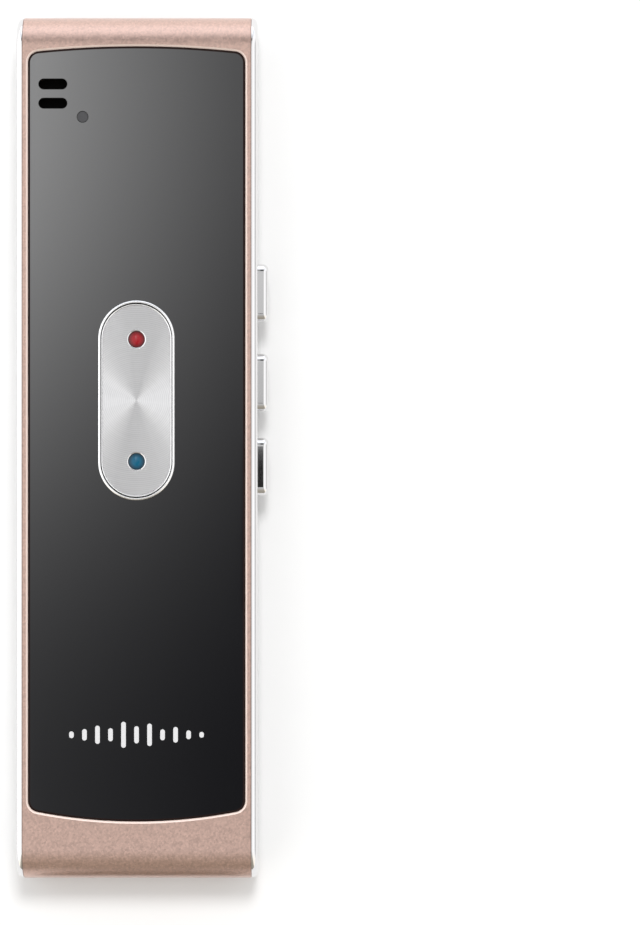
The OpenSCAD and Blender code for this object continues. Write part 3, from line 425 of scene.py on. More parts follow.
class Nodes:
    """A node tree under way."""

    def __init__(self, owner, where, out, shader):
        owner.use_nodes = True
        self.tree = owner.node_tree
        self.tree.nodes.clear()
        self.shader = self.add(shader)
        self.tree.links.new(self.shader.outputs[0], self.add(out).inputs["Surface"])
        self.spot = self.add("ShaderNodeTexCoord").outputs[where]

    def add(self, kind, **settings):
        node = self.tree.nodes.new(kind)
        for key, value in settings.items():
            setattr(node, key, value)
        return node

    def feed(self, socket, value):
        if isinstance(value, bpy.types.NodeSocket):
            self.tree.links.new(value, socket)
        elif isinstance(value, (tuple, list)) and len(value) == 3 and socket.type == "RGBA":
            socket.default_value = (*value, 1)
        else:
            socket.default_value = value

    def made(self, kind, values, output=0, **settings):
        """A node with its first inputs fed in order."""
        node = self.add(kind, **settings)
        for socket, value in zip(node.inputs, values):
            self.feed(socket, value)
        return node.outputs[output]

    def stretched(self, scale):
        node = self.add("ShaderNodeMapping")
        self.feed(node.inputs["Vector"], self.spot)
        node.inputs["Scale"].default_value = scale
        return node.outputs[0]

    def noise(self, scale, detail=2.0, rough=0.5, stretch=(1, 1, 1), at=None):
        node = self.add("ShaderNodeTexNoise")
        self.feed(node.inputs["Vector"], self.stretched(stretch) if at is None else at)
        node.inputs["Scale"].default_value = scale
        node.inputs["Detail"].default_value = detail
        node.inputs["Roughness"].default_value = rough
        return node.outputs[0]

    def cells(self, scale, output="Distance"):
        node = self.add("ShaderNodeTexVoronoi")
        self.feed(node.inputs["Vector"], self.spot)
        node.inputs["Scale"].default_value = scale
        return node.outputs[output]

    def bands(self, pitch, axis="X", wobble=0.0):
        """Soft stripes, pitch metres apart."""
        node = self.add("ShaderNodeTexWave", wave_type="BANDS", bands_direction=axis)
        self.feed(node.inputs["Vector"], self.spot)
        node.inputs["Scale"].default_value = pi / (10 * pitch)
        node.inputs["Distortion"].default_value = wobble
        return node.outputs["Fac"]

    def maths(self, how, *values):
        return self.made("ShaderNodeMath", values, operation=how)

    def times(self, one, two):
        return self.maths("MULTIPLY", one, two)

    def blend(self, one, part, two):
        """A part of one and the rest of two."""
        return self.maths("MULTIPLY_ADD", one, part, self.times(two, 1 - part))

    def spread(self, value, low, high, to_low=0.0, to_high=1.0, how="LINEAR"):
        values = (value, low, high, to_low, to_high)
        return self.made("ShaderNodeMapRange", values, interpolation_type=how)

    def soft(self, value, low, high, to_low=0.0, to_high=1.0):
        return self.spread(value, low, high, to_low, to_high, "SMOOTHSTEP")

    def mix(self, amount, one, two):
        node = self.add("ShaderNodeMix", data_type="RGBA")
        for socket, value in ((0, amount), (6, one), (7, two)):
            self.feed(node.inputs[socket], value)
        return node.outputs[2]

    def parts(self, value):
        node = self.add("ShaderNodeSeparateXYZ")
        self.feed(node.inputs[0], value)
        return tuple(node.outputs)

    def joined(self, *values):
        return self.made("ShaderNodeCombineXYZ", values)


class Recipe(Nodes):
    """A material under way: its textures are measured in the frame's own metres."""

    def __init__(self, name, tone, metallic, roughness, **more):
        self.material = bpy.data.materials.new(name)
        super().__init__(self.material, "Object", "ShaderNodeOutputMaterial", "ShaderNodeBsdfPrincipled")
        self.tone = tone
        self.height = None
        more.update(Base_Color=(*tone, 1), Metallic=metallic, Roughness=roughness)
        for socket, value in more.items():
            self.shader.inputs[socket.replace("_", " ")].default_value = value

    def colour(self, amount, low, high):
        """Goes from one share of the tone to another, or to a colour of its own."""
        ends = [end if isinstance(end, tuple) else shade(self.tone, end) for end in (low, high)]
        self.feed(self.shader.inputs["Base Color"], self.mix(amount, *ends))

    def rough(self, amount, low, high, to_low, to_high):
        self.feed(self.shader.inputs["Roughness"], self.spread(amount, low, high, to_low, to_high))

    def bump(self, height, depth, strength):
        """Raises the surface by a height from 0 to 1, times depth in metres."""
        node = self.add("ShaderNodeBump")
        node.inputs["Strength"].default_value = strength
        node.inputs["Distance"].default_value = depth
        self.feed(node.inputs["Height"], height)
        if self.height is not None:
            self.feed(node.inputs["Normal"], self.height)
        self.height = node.outputs[0]
        self.feed(self.shader.inputs["Normal"], self.height)


def blasted_metal(name, tone):
    """Anodised metal with the fine sparkle of bead blasting."""
    metal = Recipe(name, tone, 1.0, 0.36, Coat_Weight=0.5, Coat_Roughness=0.3)
    grain = metal.blend(metal.noise(2300, 3, 0.7), 0.6, metal.cells(3300, "Color"))
    cloudy = metal.blend(metal.noise(60, 3), 0.1, grain)
    metal.colour(metal.spread(cloudy, 0.3, 0.7), 0.85, 1.12)
    metal.rough(grain, 0.25, 0.75, 0.31, 0.42)
    metal.bump(grain, 0.00003, 0.7)
    return metal.material


def plated(name, tone, roughness=0.05):
    """Bright plating over a polished part, with faint hairlines."""
    metal = Recipe(name, tone, 1.0, roughness)
    hair = metal.noise(9000, 3, 0.6, (1, 0.08, 1))
    metal.colour(hair, 0.97, 1.02)
    metal.rough(hair, 0.3, 0.8, roughness * 0.85, roughness * 1.3)
    metal.bump(metal.noise(160, 1), 0.000015, 0.15)
    return metal.material


def printed_glass(name, tone):
    """Polished cover glass, black behind, with the faintest wipe marks."""
    glass = Recipe(name, tone, 0.0, 0.03, Specular_IOR_Level=1.0)
    glass.colour(glass.noise(2200, 2), 0.8, 1.3)
    glass.rough(glass.noise(70, 4, 0.6, (1, 0.35, 1)), 0.35, 0.7, 0.02, 0.05)
    return glass.material


def spun_plate(name, tone, middle):
    """Bright metal brushed in circles about its middle."""
    metal = Recipe(name, tone, 1.0, 0.33, Anisotropic=0.9)
    groove_pitch = 0.00031
    across, along, _ = metal.parts(metal.spot)
    along = metal.maths("SUBTRACT", along, middle)
    metal.feed(metal.shader.inputs["Tangent"], metal.joined(across, along, 0.0))
    radius = metal.maths("SQRT", metal.maths("MULTIPLY_ADD", along, along, metal.times(across, across)))
    angle = metal.maths("ARCTAN2", along, across)
    groove = metal.spread(metal.maths("SINE", metal.times(radius, 2 * pi / groove_pitch)), -1, 1)
    wear_at = metal.joined(metal.times(radius, 7000.0), metal.times(angle, 0.8), 0.0)
    rings = metal.blend(groove, 0.45, metal.noise(1.0, 3, 0.6, at=wear_at))
    turns = [metal.times(metal.maths(how, angle), 3.0) for how in ("COSINE", "SINE")]
    rays = metal.noise(1.0, 2, 0.6, at=metal.joined(*turns, metal.times(radius, 30.0)))
    metal.colour(metal.spread(metal.blend(rays, 0.35, rings), 0.25, 0.75), 0.88, 1.1)
    metal.rough(rings, 0.3, 0.7, 0.29, 0.37)
    metal.bump(rings, 0.000004, 0.7)
    return metal.material


def tinted_lens(name, tone, middle):
    """Clear coloured plastic, with painted shade darkening it towards its edge and a lighter middle."""
    lens = Recipe(name, tone, 0.0, 0.15, Coat_Weight=0.5, Coat_Roughness=0.03, Specular_IOR_Level=0.25)
    away = lens.made("ShaderNodeVectorMath", (lens.spot, middle), "Value", operation="DISTANCE")
    rim_shade_distance = lens.maths("MULTIPLY_ADD", lens.noise(1800, 3), 0.0002, away)
    # Painted shade: the colour runs from a lighter middle to a dark rim, where the seat of the lens shades
    # it.
    lens.colour(lens.spread(rim_shade_distance, 0.0007, 0.0013), 1.15, 0.35)
    return lens.material


def moulded(name, tone, roughness=0.5, grain=3500):
    """Moulded plastic or rubber with a fine grain."""
    plastic = Recipe(name, tone, 0.0, roughness)
    cloud = plastic.noise(220, 3)
    plastic.colour(cloud, 0.85, 1.2)
    plastic.rough(cloud, 0.3, 0.7, roughness * 0.9, roughness * 1.1)
    plastic.bump(plastic.cells(grain), 0.00002, 0.35)
    return plastic.material


def woven(name, tone, metallic, pitch, gloss=0.5):
    """Fine cloth or wire gauze: threads over and under, dark between them."""
    cloth = Recipe(name, tone, metallic, 0.45, Specular_IOR_Level=gloss)
    thread = cloth.maths("MAXIMUM", cloth.bands(pitch, "X"), cloth.bands(pitch, "Y"))
    cloth.colour(thread, 0.12, 1)
    cloth.rough(cloth.noise(3000, 2), 0.3, 0.7, 0.35, 0.6)
    cloth.bump(thread, pitch * 0.3, 0.8)
    return cloth.material


def circuit_board(name, tone):
    """Solder mask over fine tracks, with bare pads here and there."""
    board = Recipe(name, tone, 0.0, 0.35, Coat_Weight=0.4)
    zone = board.spread(board.noise(180, 2), 0.47, 0.53)
    track = board.mix(zone, board.bands(0.0009, "X", 1.5), board.bands(0.0011, "Y", 1.5))
    edge = board.spread(track, 0.55, 0.62)
    pad = board.spread(board.cells(420), 0.16, 0.13)
    green = board.mix(edge, shade(tone, 0.75), shade(tone, 1.5))
    board.feed(board.shader.inputs["Base Color"], board.mix(pad, green, (0.62, 0.52, 0.30)))
    board.feed(board.shader.inputs["Metallic"], pad)
    board.bump(edge, 0.00003, 0.6)
    return board.material


def pouch_foil(name, tone):
    """Laminated foil of a battery pouch, slightly crinkled."""
    foil = Recipe(name, tone, 0.9, 0.32)
    fold, fine = foil.noise(110, 4, 0.6), foil.noise(1500, 3)
    foil.colour(fine, 0.9, 1.08)
    foil.rough(fold, 0.3, 0.7, 0.26, 0.42)
    foil.bump(fold, 0.0004, 0.35)
    foil.bump(fine, 0.00001, 0.4)
    return foil.material


def pressed_paper(name, tone):
    """Pressed paper with long fibres."""
    paper = Recipe(name, tone, 0.0, 0.85)
    fibres = [paper.noise(2600, 4, 0.7, way) for way in ((1, 0.25, 1), (0.25, 1, 1))]
    felt = paper.maths("MAXIMUM", *fibres)
    paper.colour(paper.spread(felt, 0.4, 0.8), 0.6, 2.0)
    paper.bump(felt, 0.00004, 0.6)
    return paper.material


def open_foam(name, tone):
    """Foam with open pores."""
    foam = Recipe(name, tone, 0.0, 0.95)
    pores = foam.cells(2400)
    foam.colour(foam.spread(pores, 0.1, 0.5), 0.35, 1.6)
    foam.bump(pores, 0.00015, 0.8)
    return foam.material


def grained(name, tone, recipe, pattern, ends, relief=(), rough=(), **more):
    """A finish with one pattern. The recipe is metallic and roughness, the relief depth and strength."""
    finish = Recipe(name, tone, *recipe, **more)
    grain = pattern(finish)
    finish.colour(grain, *ends)
    if rough:
        finish.rough(grain, *rough)
    if relief:
        finish.bump(grain, *relief)
    return finish.material


# The finishes with one pattern: recipe, pattern, the two ends of the colour, relief, roughness by pattern
grains = {
    "bright_cut": (
        (0.15, 0.38),
        lambda r: r.noise(30000, 2, 0.5, (1, 0.02, 1)),
        (0.97, 1.03),
        (0.000002, 0.4),
        (0.2, 0.8, 0.34, 0.42),
    ),
    "steel": (
        (1.0, 0.3),
        lambda r: r.noise(7000, 3, 0.6, (1, 0.04, 1)),
        (0.85, 1.12),
        (0.000006, 0.4),
        (0.3, 0.7, 0.24, 0.38),
    ),
    "blacked_edge": ((0.0, 0.6), lambda r: r.noise(12000, 2), (0.7, 1.4), (0.000004, 0.4)),
    "smoke_plastic": ((0.0, 0.5), lambda r: r.noise(2600, 3), (0.85, 1.15), (0.000006, 0.4)),
    "lamp": ((0.0, 0.1), lambda r: r.noise(1400, 3), (0.8, 1.15)),
    "ink": ((0.0, 0.5), lambda r: r.noise(6000, 2), (0.9, 1.08), (0.000004, 0.4)),
    "silicone": ((0.0, 0.45), lambda r: r.noise(900, 3), (0.9, 1.05), (0.00002, 0.3)),
    "ceramic": ((0.0, 0.55), lambda r: r.spread(r.noise(9000, 2), 0.58, 0.66), (1, 0.55), (0.000008, 0.5)),
    "adhesive": ((0.0, 0.3), lambda r: r.spread(r.cells(900), 0.18, 0.1), (1, 0.7), (0.00002, 0.5)),
    "flat_cable": (
        (0.0, 0.3),
        lambda r: r.spread(r.bands(0.0005, "Y"), 0.4, 0.6),
        (0.7, (0.72, 0.36, 0.12)),
        (0.00002, 0.5),
    ),
    "copper": ((0.9, 0.28), lambda r: r.bands(0.00012, "Z", 0.3), (0.45, 1.15), (0.00004, 0.8)),
}
grains["capsule_metal"] = (grains["steel"][0], lambda r: r.noise(7000, 3, 0.6), *grains["steel"][2:])

finishes = {}


def finish_of(slot):
    """The finish of a material slot, made once."""
    if slot in finishes:
        return finishes[slot]
    tone = bpy.context.scene.translator_colours
    key = bpy.context.scene.translator_key
    lens_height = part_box("red_lens")[1][2]

    def plain(colour, **more):
        return lambda name: grained(name, colour, *grains[slot], **more)

    def lens(colour, way):
        return lambda name: tinted_lens(name, colour, (0, key.middle + way * key.lens_offset, lens_height))

    makers = {
        "rose_gold": lambda n: blasted_metal(n, tone.shell),
        "bright_cut": plain(tone.cut),
        "black_glass": lambda n: printed_glass(n, tone.glass),
        "blacked_edge": plain(tone.edge, Specular_IOR_Level=0.08),
        "chrome": lambda n: plated(n, tone.plating),
        "satin_ring": lambda n: plated(n, tone.satin, 0.28),
        "plated_key": lambda n: plated(n, tone.satin, 0.28),
        "brushed_plate": lambda n: spun_plate(n, tone.plate, key.middle),
        "red_lens": lens(tone.red, 1),
        "blue_lens": lens(tone.blue, -1),
        "ink": plain(tone.ink),
        "smoke_plastic": plain((0.040, 0.040, 0.043)),
        "adhesive": plain((0.78, 0.78, 0.74), Coat_Weight=0.3),
        "silicone": plain((0.82, 0.82, 0.80), Subsurface_Weight=0.3, Subsurface_Scale=0.001),
        "flat_cable": plain((0.62, 0.28, 0.04), Coat_Weight=0.5),
        "ceramic": plain((0.62, 0.50, 0.34)),
        "lamp": plain((0.80, 0.78, 0.60), Coat_Weight=0.6, Coat_Roughness=0.05),
        "copper": plain((0.72, 0.34, 0.17), Coat_Weight=0.7),
        "black_plastic": lambda n: moulded(n, (0.02, 0.02, 0.02)),
        "plunger_plastic": lambda n: moulded(n, (0.06, 0.06, 0.06), 0.4),
        "chassis_plastic": lambda n: moulded(n, (0.035, 0.035, 0.038), 0.55, 2200),
        "rubber_boot": lambda n: moulded(n, (0.02, 0.02, 0.02), 0.75),
        "chip_black": lambda n: moulded(n, (0.018, 0.018, 0.020), 0.6, 6000),
        "ivory_plastic": lambda n: moulded(n, (0.80, 0.75, 0.58)),
        "lead_rubber": lambda n: moulded(n, (0.38, 0.02, 0.02), 0.4),
        "steel": plain((0.60, 0.60, 0.62)),
        "capsule_metal": plain((0.80, 0.60, 0.26)),
        "black_mesh": lambda n: woven(n, (0.0015, 0.0015, 0.0015), 0.0, 0.00012, 0.03),
        "steel_mesh": lambda n: woven(n, (0.30, 0.27, 0.25), 0.9, 0.00014),
        "foam": lambda n: open_foam(n, (0.02, 0.02, 0.02)),
        "circuit_board": lambda n: circuit_board(n, tone.board),
        "battery_foil": lambda n: pouch_foil(n, (0.66, 0.68, 0.70)),
        "cone_paper": lambda n: pressed_paper(n, (0.03, 0.03, 0.03)),
    }
    finishes[slot] = makers[slot](slot + "_finish")
    return finishes[slot]


# ---- Pieces ----


class TRANSLATOR_OT_shell(bpy.types.Operator):
    """Metal shell with its hollow, the seat of the glass, the openings behind it and the speaker grille"""

    bl_idname = "translator.shell"
    bl_label = "Shell"

    def execute(self, context):
        shell, glass = context.scene.translator_shell, context.scene.translator_glass
        side, top = shell.width / 2, shell.thickness
        outer = ring_box(shell.length, top, shell.end_radius, 28)
        inner = ring_box(shell.hollow_length, shell.front_inside - shell.back_wall, shell.hollow_radius, 28)
        walls = ((outer, -side, top / 2), (outer, side, top / 2))
        inside = (shell.front_inside + shell.back_wall) / 2
        walls += ((inner, side, inside), (inner, -side, inside))
        sleeve = skin("rose_gold_shell", [upright(ring, x, z=z) for ring, x, z in walls], loop=True)
        past = 0.0005
        seat = (
            (glass.gap, shell.pocket_floor),
            (glass.gap, top - shell.cut),
            (glass.gap + shell.cut + past, top + past),
        )
        carve(sleeve, skin("seat", [level(ring_glass(glass, grow), z) for grow, z in seat]))
        relief = 0.0002
        ends = (shell.front_inside - past, shell.pocket_floor + past)
        carve(sleeve, openings(context.scene, ends, relief, relief / 2, 16))
        carve(sleeve, self.grille(context, shell))
        ease(sleeve, shell.soft_edge)
        hand_over(sleeve, "slab", "rose_gold", ["rose_gold", "bright_cut"], "shell_sleeve")
        for face in sleeve.data.polygons:
            sloping = 0.55 < face.normal.z < 0.85
            if sloping and face.center.z > top - shell.cut * 1.05:
                face.material_index = 1
        return {"FINISHED"}

    def grille(self, context, shell):
        """Square grid of countersunk holes, kept where a hole lies wholly inside the speaker."""
        grille = context.scene.translator_grille
        reach = grille.radius - grille.hole / 2
        steps = int(reach / grille.pitch) + 1
        past = 0.0003
        hole = [
            (-past, grille.hole / 2 + grille.sink + past),
            (grille.sink, grille.hole / 2),
            (shell.back_wall + past, grille.hole / 2),
        ]
        holes = []
        for i in range(-steps, steps):
            for j in range(-steps, steps):
                x, y = (i + 0.5) * grille.pitch, (j + 0.5) * grille.pitch
                if hypot(x, y) < reach:
                    rings = [level(ring_round(r, 28), z, x, grille.centre + y) for z, r in hole]
                    holes.append(skin("hole", rings))
        return gather("grille", holes)


class TRANSLATOR_OT_glass(bpy.types.Operator):
    """Black front glass with its polished edge, talk-key window, microphone slots and indicator hole"""

    bl_idname = "translator.glass"
    bl_label = "Glass"

    def execute(self, context):
        glass = context.scene.translator_glass
        rings = [level(ring_glass(glass, 0), glass.under)]
        for inset, drop in quarter(5):
            rings.append(level(ring_glass(glass, -glass.edge * inset), glass.face - glass.edge * drop))
        front = skin("black_front_glass", rings)
        for name in ("black_glass", "blacked_edge"):
            front.data.materials.append(finish_of(name))
        for face in front.data.polygons:
            face.material_index = int(abs(face.normal.z) < 0.998)
        past = 0.0005
        carve(front, openings(context.scene, (glass.under - past, glass.face + past), glass.gap, 0, 20))
        ease(front, 0.00006, 3)
        hand_over(front, "slab", "black_glass", [], "front_glass")
        return {"FINISHED"}


class TRANSLATOR_OT_mark(bpy.types.Operator):
    """Plain row of sound bars printed low on the glass"""

    bl_idname = "translator.mark"
    bl_label = "Printed bars"

    def execute(self, context):
        mark, glass = context.scene.translator_mark, context.scene.translator_glass
        shares = (0.26, 0.44, 0.7, 0.5, 1.0, 0.66, 0.86, 0.42, 0.6, 0.34, 0.22)
        bars = []
        for i, part in enumerate(shares):
            x = (i - (len(shares) - 1) / 2) * mark.pitch
            shape = ring_pill(mark.bar, max(mark.height * part, mark.bar * 1.05), 10)
            bars.append(plug(shape, (glass.face, glass.face + mark.ink), x, -mark.middle))
        hand_over(gather("printed_sound_bars", bars), "slab", "black_glass", ["ink"])
        return {"FINISHED"}


class TRANSLATOR_OT_trims(bpy.types.Operator):
    """Bright trims along the two long sides, the right one with its three button openings"""

    bl_idname = "translator.trims"
    bl_label = "Side trims"

    def execute(self, context):
        shell, trim = context.scene.translator_shell, context.scene.translator_trim
        button = context.scene.translator_button
        for name, node, way in (
            ("bright_trim_left", "left_side_trim", -1),
            ("bright_trim_right", "right_side_trim", 1),
        ):
            piece = skin(name, self.rings(shell, trim, way))
            if way > 0:
                shape = ring_box(button.length, button.height, button.corner, grow=button.gap)
                behind, past = 0.0007, 0.002
                ends = (shell.width / 2 - behind, shell.width / 2 + past)
                for key in ("volume_up_button", "volume_down_button", "power_button"):
                    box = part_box(key)
                    carve(piece, bar(shape, ends, middle_of(box, 1), middle_of(box, 2)))
            ease(piece, 0.00006)
            hand_over(piece, "slab", "chrome", ["chrome"], node)
        return {"FINISHED"}

    def rings(self, shell, trim, way):
        """The rim inside the shell, then the strip with its rounded outer edge."""
        middle, side, corner_steps = shell.thickness / 2, shell.width / 2, 24
        inside = (shell.front_inside + shell.back_wall) / 2

        def rim(inset, x):
            height = shell.front_inside - shell.back_wall
            ring = ring_box(shell.hollow_length, height, shell.hollow_radius, corner_steps, -inset)
            return upright(ring, way * x, z=inside)

        def strip(inset, x):
            ring = ring_box(shell.length, shell.thickness, shell.end_radius, corner_steps, -inset)
            return upright(ring, way * x, z=middle)

        narrow, wide = trim.rim_gap + trim.rim_wall, trim.rim_gap
        rings = [rim(narrow, side), rim(narrow, side - trim.rim_depth)]
        rings += [rim(wide, side - trim.rim_depth), rim(wide, side)]
        rings += [strip(trim.groove, side), strip(0, side + trim.groove)]
        for inset, drop in quarter(12):
            rings.append(strip(trim.edge * inset, side + trim.thickness - trim.edge * drop))
        return rings


class TRANSLATOR_OT_buttons(bpy.types.Operator):
    """Three bright side buttons with their flanges and nubs"""

    bl_idname = "translator.buttons"
    bl_label = "Side buttons"

    def execute(self, context):
        button = context.scene.translator_button
        nub_length = 0.0005

        def face(grow):
            return ring_box(button.length, button.height, button.corner, grow=grow)

        for name, node, body in (
            ("bright_button_upper", "volume_up_button", "volume_up"),
            ("bright_button_middle", "volume_down_button", "volume_down"),
            ("bright_button_lower", "power_button", "power"),
        ):
            low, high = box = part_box(node)
            back = low[0] + nub_length
            front = back + button.flange_depth
            nub = ring_box(button.nub, button.nub, button.nub / 2)
            flange = face(button.gap + button.flange)
            stack = [(nub, low[0]), (nub, back), (flange, back), (flange, front), (face(0), front)]
            for inset, drop in quarter(12):
                stack.append((face(-button.edge * inset), high[0] - button.edge * drop))
            y, z = middle_of(box, 1), middle_of(box, 2)
            piece = skin(name, [upright(ring, x, y, z) for ring, x in stack])
            ease(piece, 0.00005)
            hand_over(piece, body, "chrome", ["chrome"], node)
        return {"FINISHED"}


class TRANSLATOR_OT_key_ring(bpy.types.Operator):
    """Bright ring round the talk key, with its sleeve through the glass"""

    bl_idname = "translator.key_ring"
    bl_label = "Key ring"

    def execute(self, context):
        key, glass = context.scene.translator_key, context.scene.translator_glass
        foot, top = (corner[2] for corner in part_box("rocker_bezel"))
        bend = min(key.ring, top - glass.face) - key.ring_land
        lip = 0.00004
        outline = [(0, glass.face)]
        outline += [(bend * inset, top - bend * drop) for inset, drop in quarter(8)]
        outline += [
            (key.ring - lip, top),
            (key.ring - lip * 0.3, top - lip * 0.3),
            (key.ring, top - lip),
            (key.ring, foot),
            (key.ring - key.sleeve, foot),
            (key.ring - key.sleeve, glass.face),
        ]
        ring = pill_skin("bright_key_ring", "rocker_bezel", outline, loop=True)
        ease(ring)
        hand_over(ring, "slab", "chrome", ["satin_ring"], "rocker_bezel")
        return {"FINISHED"}


class TRANSLATOR_OT_talk_key(bpy.types.Operator):
    """Plated body of the tilting talk key and its spun-brushed face"""

    bl_idname = "translator.talk_key"
    bl_label = "Talk key"

    def execute(self, context):
        key = context.scene.translator_key
        top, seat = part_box("rocker_carrier")[1][2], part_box("rocker_plate")[0][2]
        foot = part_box("rocker_bezel")[0][2]
        web = seat - key.web
        soft = 0.00008
        outline = [(key.wall, web), (key.wall, foot), (0, foot), (0, top - soft)]
        outline += [(soft * inset, top - soft * drop) for inset, drop in quarter(4)[1:]]
        outline += [(key.rim - soft * drop, top - soft * inset) for inset, drop in quarter(4)]
        outline.append((key.rim, seat))
        body = pill_skin("plated_key_body", "rocker_carrier", outline)
        self.add_works(key, body, web + key.web / 2, foot)
        hole, past = ring_round(key.lens / 2 + key.lens_gap), 0.0005
        for way in (-1, 1):
            carve(body, plug(hole, (foot, top + past), y=key.middle + way * key.lens_offset))
        ease(body)
        hand_over(body, "talk_key", "plated_key", ["plated_key"], "rocker_carrier")
        self.face(key)
        return {"FINISHED"}

    def add_works(self, key, body, inside, foot):
        """Posts over the return domes and the barrel that turns on the pin."""
        for way in (-1, 1):
            post = plug(ring_round(key.post, 40), (foot, inside), y=key.middle + way * key.post_offset)
            carve(body, post, "UNION")
        half, pin, bore_half = key.barrel_half, key.pin_height, 0.006
        rib = [(-key.barrel, pin), (key.barrel, pin), (key.barrel, inside), (-key.barrel, inside)]
        for ring, reach, height, how in (
            (ring_round(key.barrel, 40), half, pin, "UNION"),
            (rib, half, 0, "UNION"),
            (ring_round(key.bore, 32), bore_half, pin, "DIFFERENCE"),
        ):
            carve(body, bar(ring, (-reach, reach), key.middle, height), how)

    def face(self, key):
        """The brushed plate with bevelled holes for the lenses."""
        foot, top = (corner[2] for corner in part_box("rocker_plate"))
        soft = 0.00004
        outline = ((0, foot), (0, top - soft), (soft * 0.3, top - soft * 0.3), (soft, top))
        plate = pill_skin("spun_key_face", "rocker_plate", outline)
        radius = key.lens / 2 + key.lens_gap
        under, over, past = 0.0003, 0.0003, 0.0005
        for way in (-1, 1):
            stack = (
                (radius, foot - under),
                (radius, top - key.chamfer * 0.6),
                (radius + key.chamfer + past, top + over),
            )
            place = key.middle + way * key.lens_offset
            carve(plate, skin("hole", [level(ring_round(r), z, y=place) for r, z in stack]))
        ease(plate)
        hand_over(plate, "talk_key", "brushed_plate", ["brushed_plate", "chrome"], "rocker_plate")
        for face in plate.data.polygons:
            sloping = 0.5 < face.normal.z < 0.9
            if sloping and face.center.z > top - key.chamfer:
                near = abs(abs(face.center.y - key.middle) - key.lens_offset)
                if hypot(face.center.x, near) < radius * 1.3:
                    face.material_index = 1


class TRANSLATOR_OT_lenses(bpy.types.Operator):
    """Red and blue lenses of the talk key, slightly domed"""

    bl_idname = "translator.lenses"
    bl_label = "Lenses"

    def execute(self, context):
        key = context.scene.translator_key
        flange_height, crown, steps, flat = 0.0004, 0.00012, 10, 0.06
        for name, node, way in (("ruby_lens", "red_lens", 1), ("azure_lens", "blue_lens", -1)):
            low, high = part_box(node)
            flange, radius, shelf = high[0], key.lens / 2, low[2] + flange_height
            stack = [(flange, low[2]), (flange, shelf), (radius, shelf)]
            for i in range(steps + 1):
                part = radius * (1 - (1 - flat) * i / steps)
                stack.append((part, high[2] - crown * (part / radius) ** 2))
            place = key.middle + way * key.lens_offset
            piece = skin(name, [level(ring_round(r, 72), z, y=place) for r, z in stack])
            ease(piece)
            hand_over(piece, "talk_key", node, [node], node)
        return {"FINISHED"}


class TRANSLATOR_OT_domes(bpy.types.Operator):
    """Hollow silicone domes that push the talk key back"""

    bl_idname = "translator.domes"
    bl_label = "Return domes"

    def execute(self, context):
        dome = context.scene.translator_dome
        square = ring_box(dome.foot, dome.foot, dome.foot_corner)
        rounding = ((0, 1), (0.3, 0.3), (1, 0))

        def disc(radius):
            return ring_box(2 * radius, 2 * radius, radius)

        for name, node in (
            ("silicone_dome_upper", "upper_return_dome"),
            ("silicone_dome_lower", "lower_return_dome"),
        ):
            low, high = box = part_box(node)
            base, roof = low[2], high[2]
            foot = base + dome.foot_height
            stack = [
                (disc(dome.high_radius - dome.wall), roof - 2 * dome.wall),
                (disc(dome.low_radius - dome.wall), foot),
                (disc(dome.low_radius - dome.wall), base),
                (square, base),
                (square, foot),
                (disc(dome.low_radius), foot),
            ]
            for inset, drop in rounding:
                stack.append((disc(dome.high_radius - dome.soft * inset), roof - dome.soft * drop))
            piece = skin(name, [level(ring, z, y=middle_of(box, 1)) for ring, z in stack])
            ease(piece)
            hand_over(piece, "slab", "silicone", ["silicone"], node)
            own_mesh(piece)
        return {"FINISHED"}


class TRANSLATOR_OT_works(bpy.types.Operator):
    """Finishes of the CAD pieces that stay as they are: the works inside and the meshes behind the holes"""

    bl_idname = "translator.works"
    bl_label = "Works inside"

    def execute(self, context):
        slots = {part["node"]: part["material_slot"] for part in frame["record"]["subparts"]}
        for name, node in frame["nodes"].items():
            if node.hide_render:
                continue
            finish = finish_of(slots[name])
            for slot in node.material_slots:
                slot.material = finish
        return {"FINISHED"}


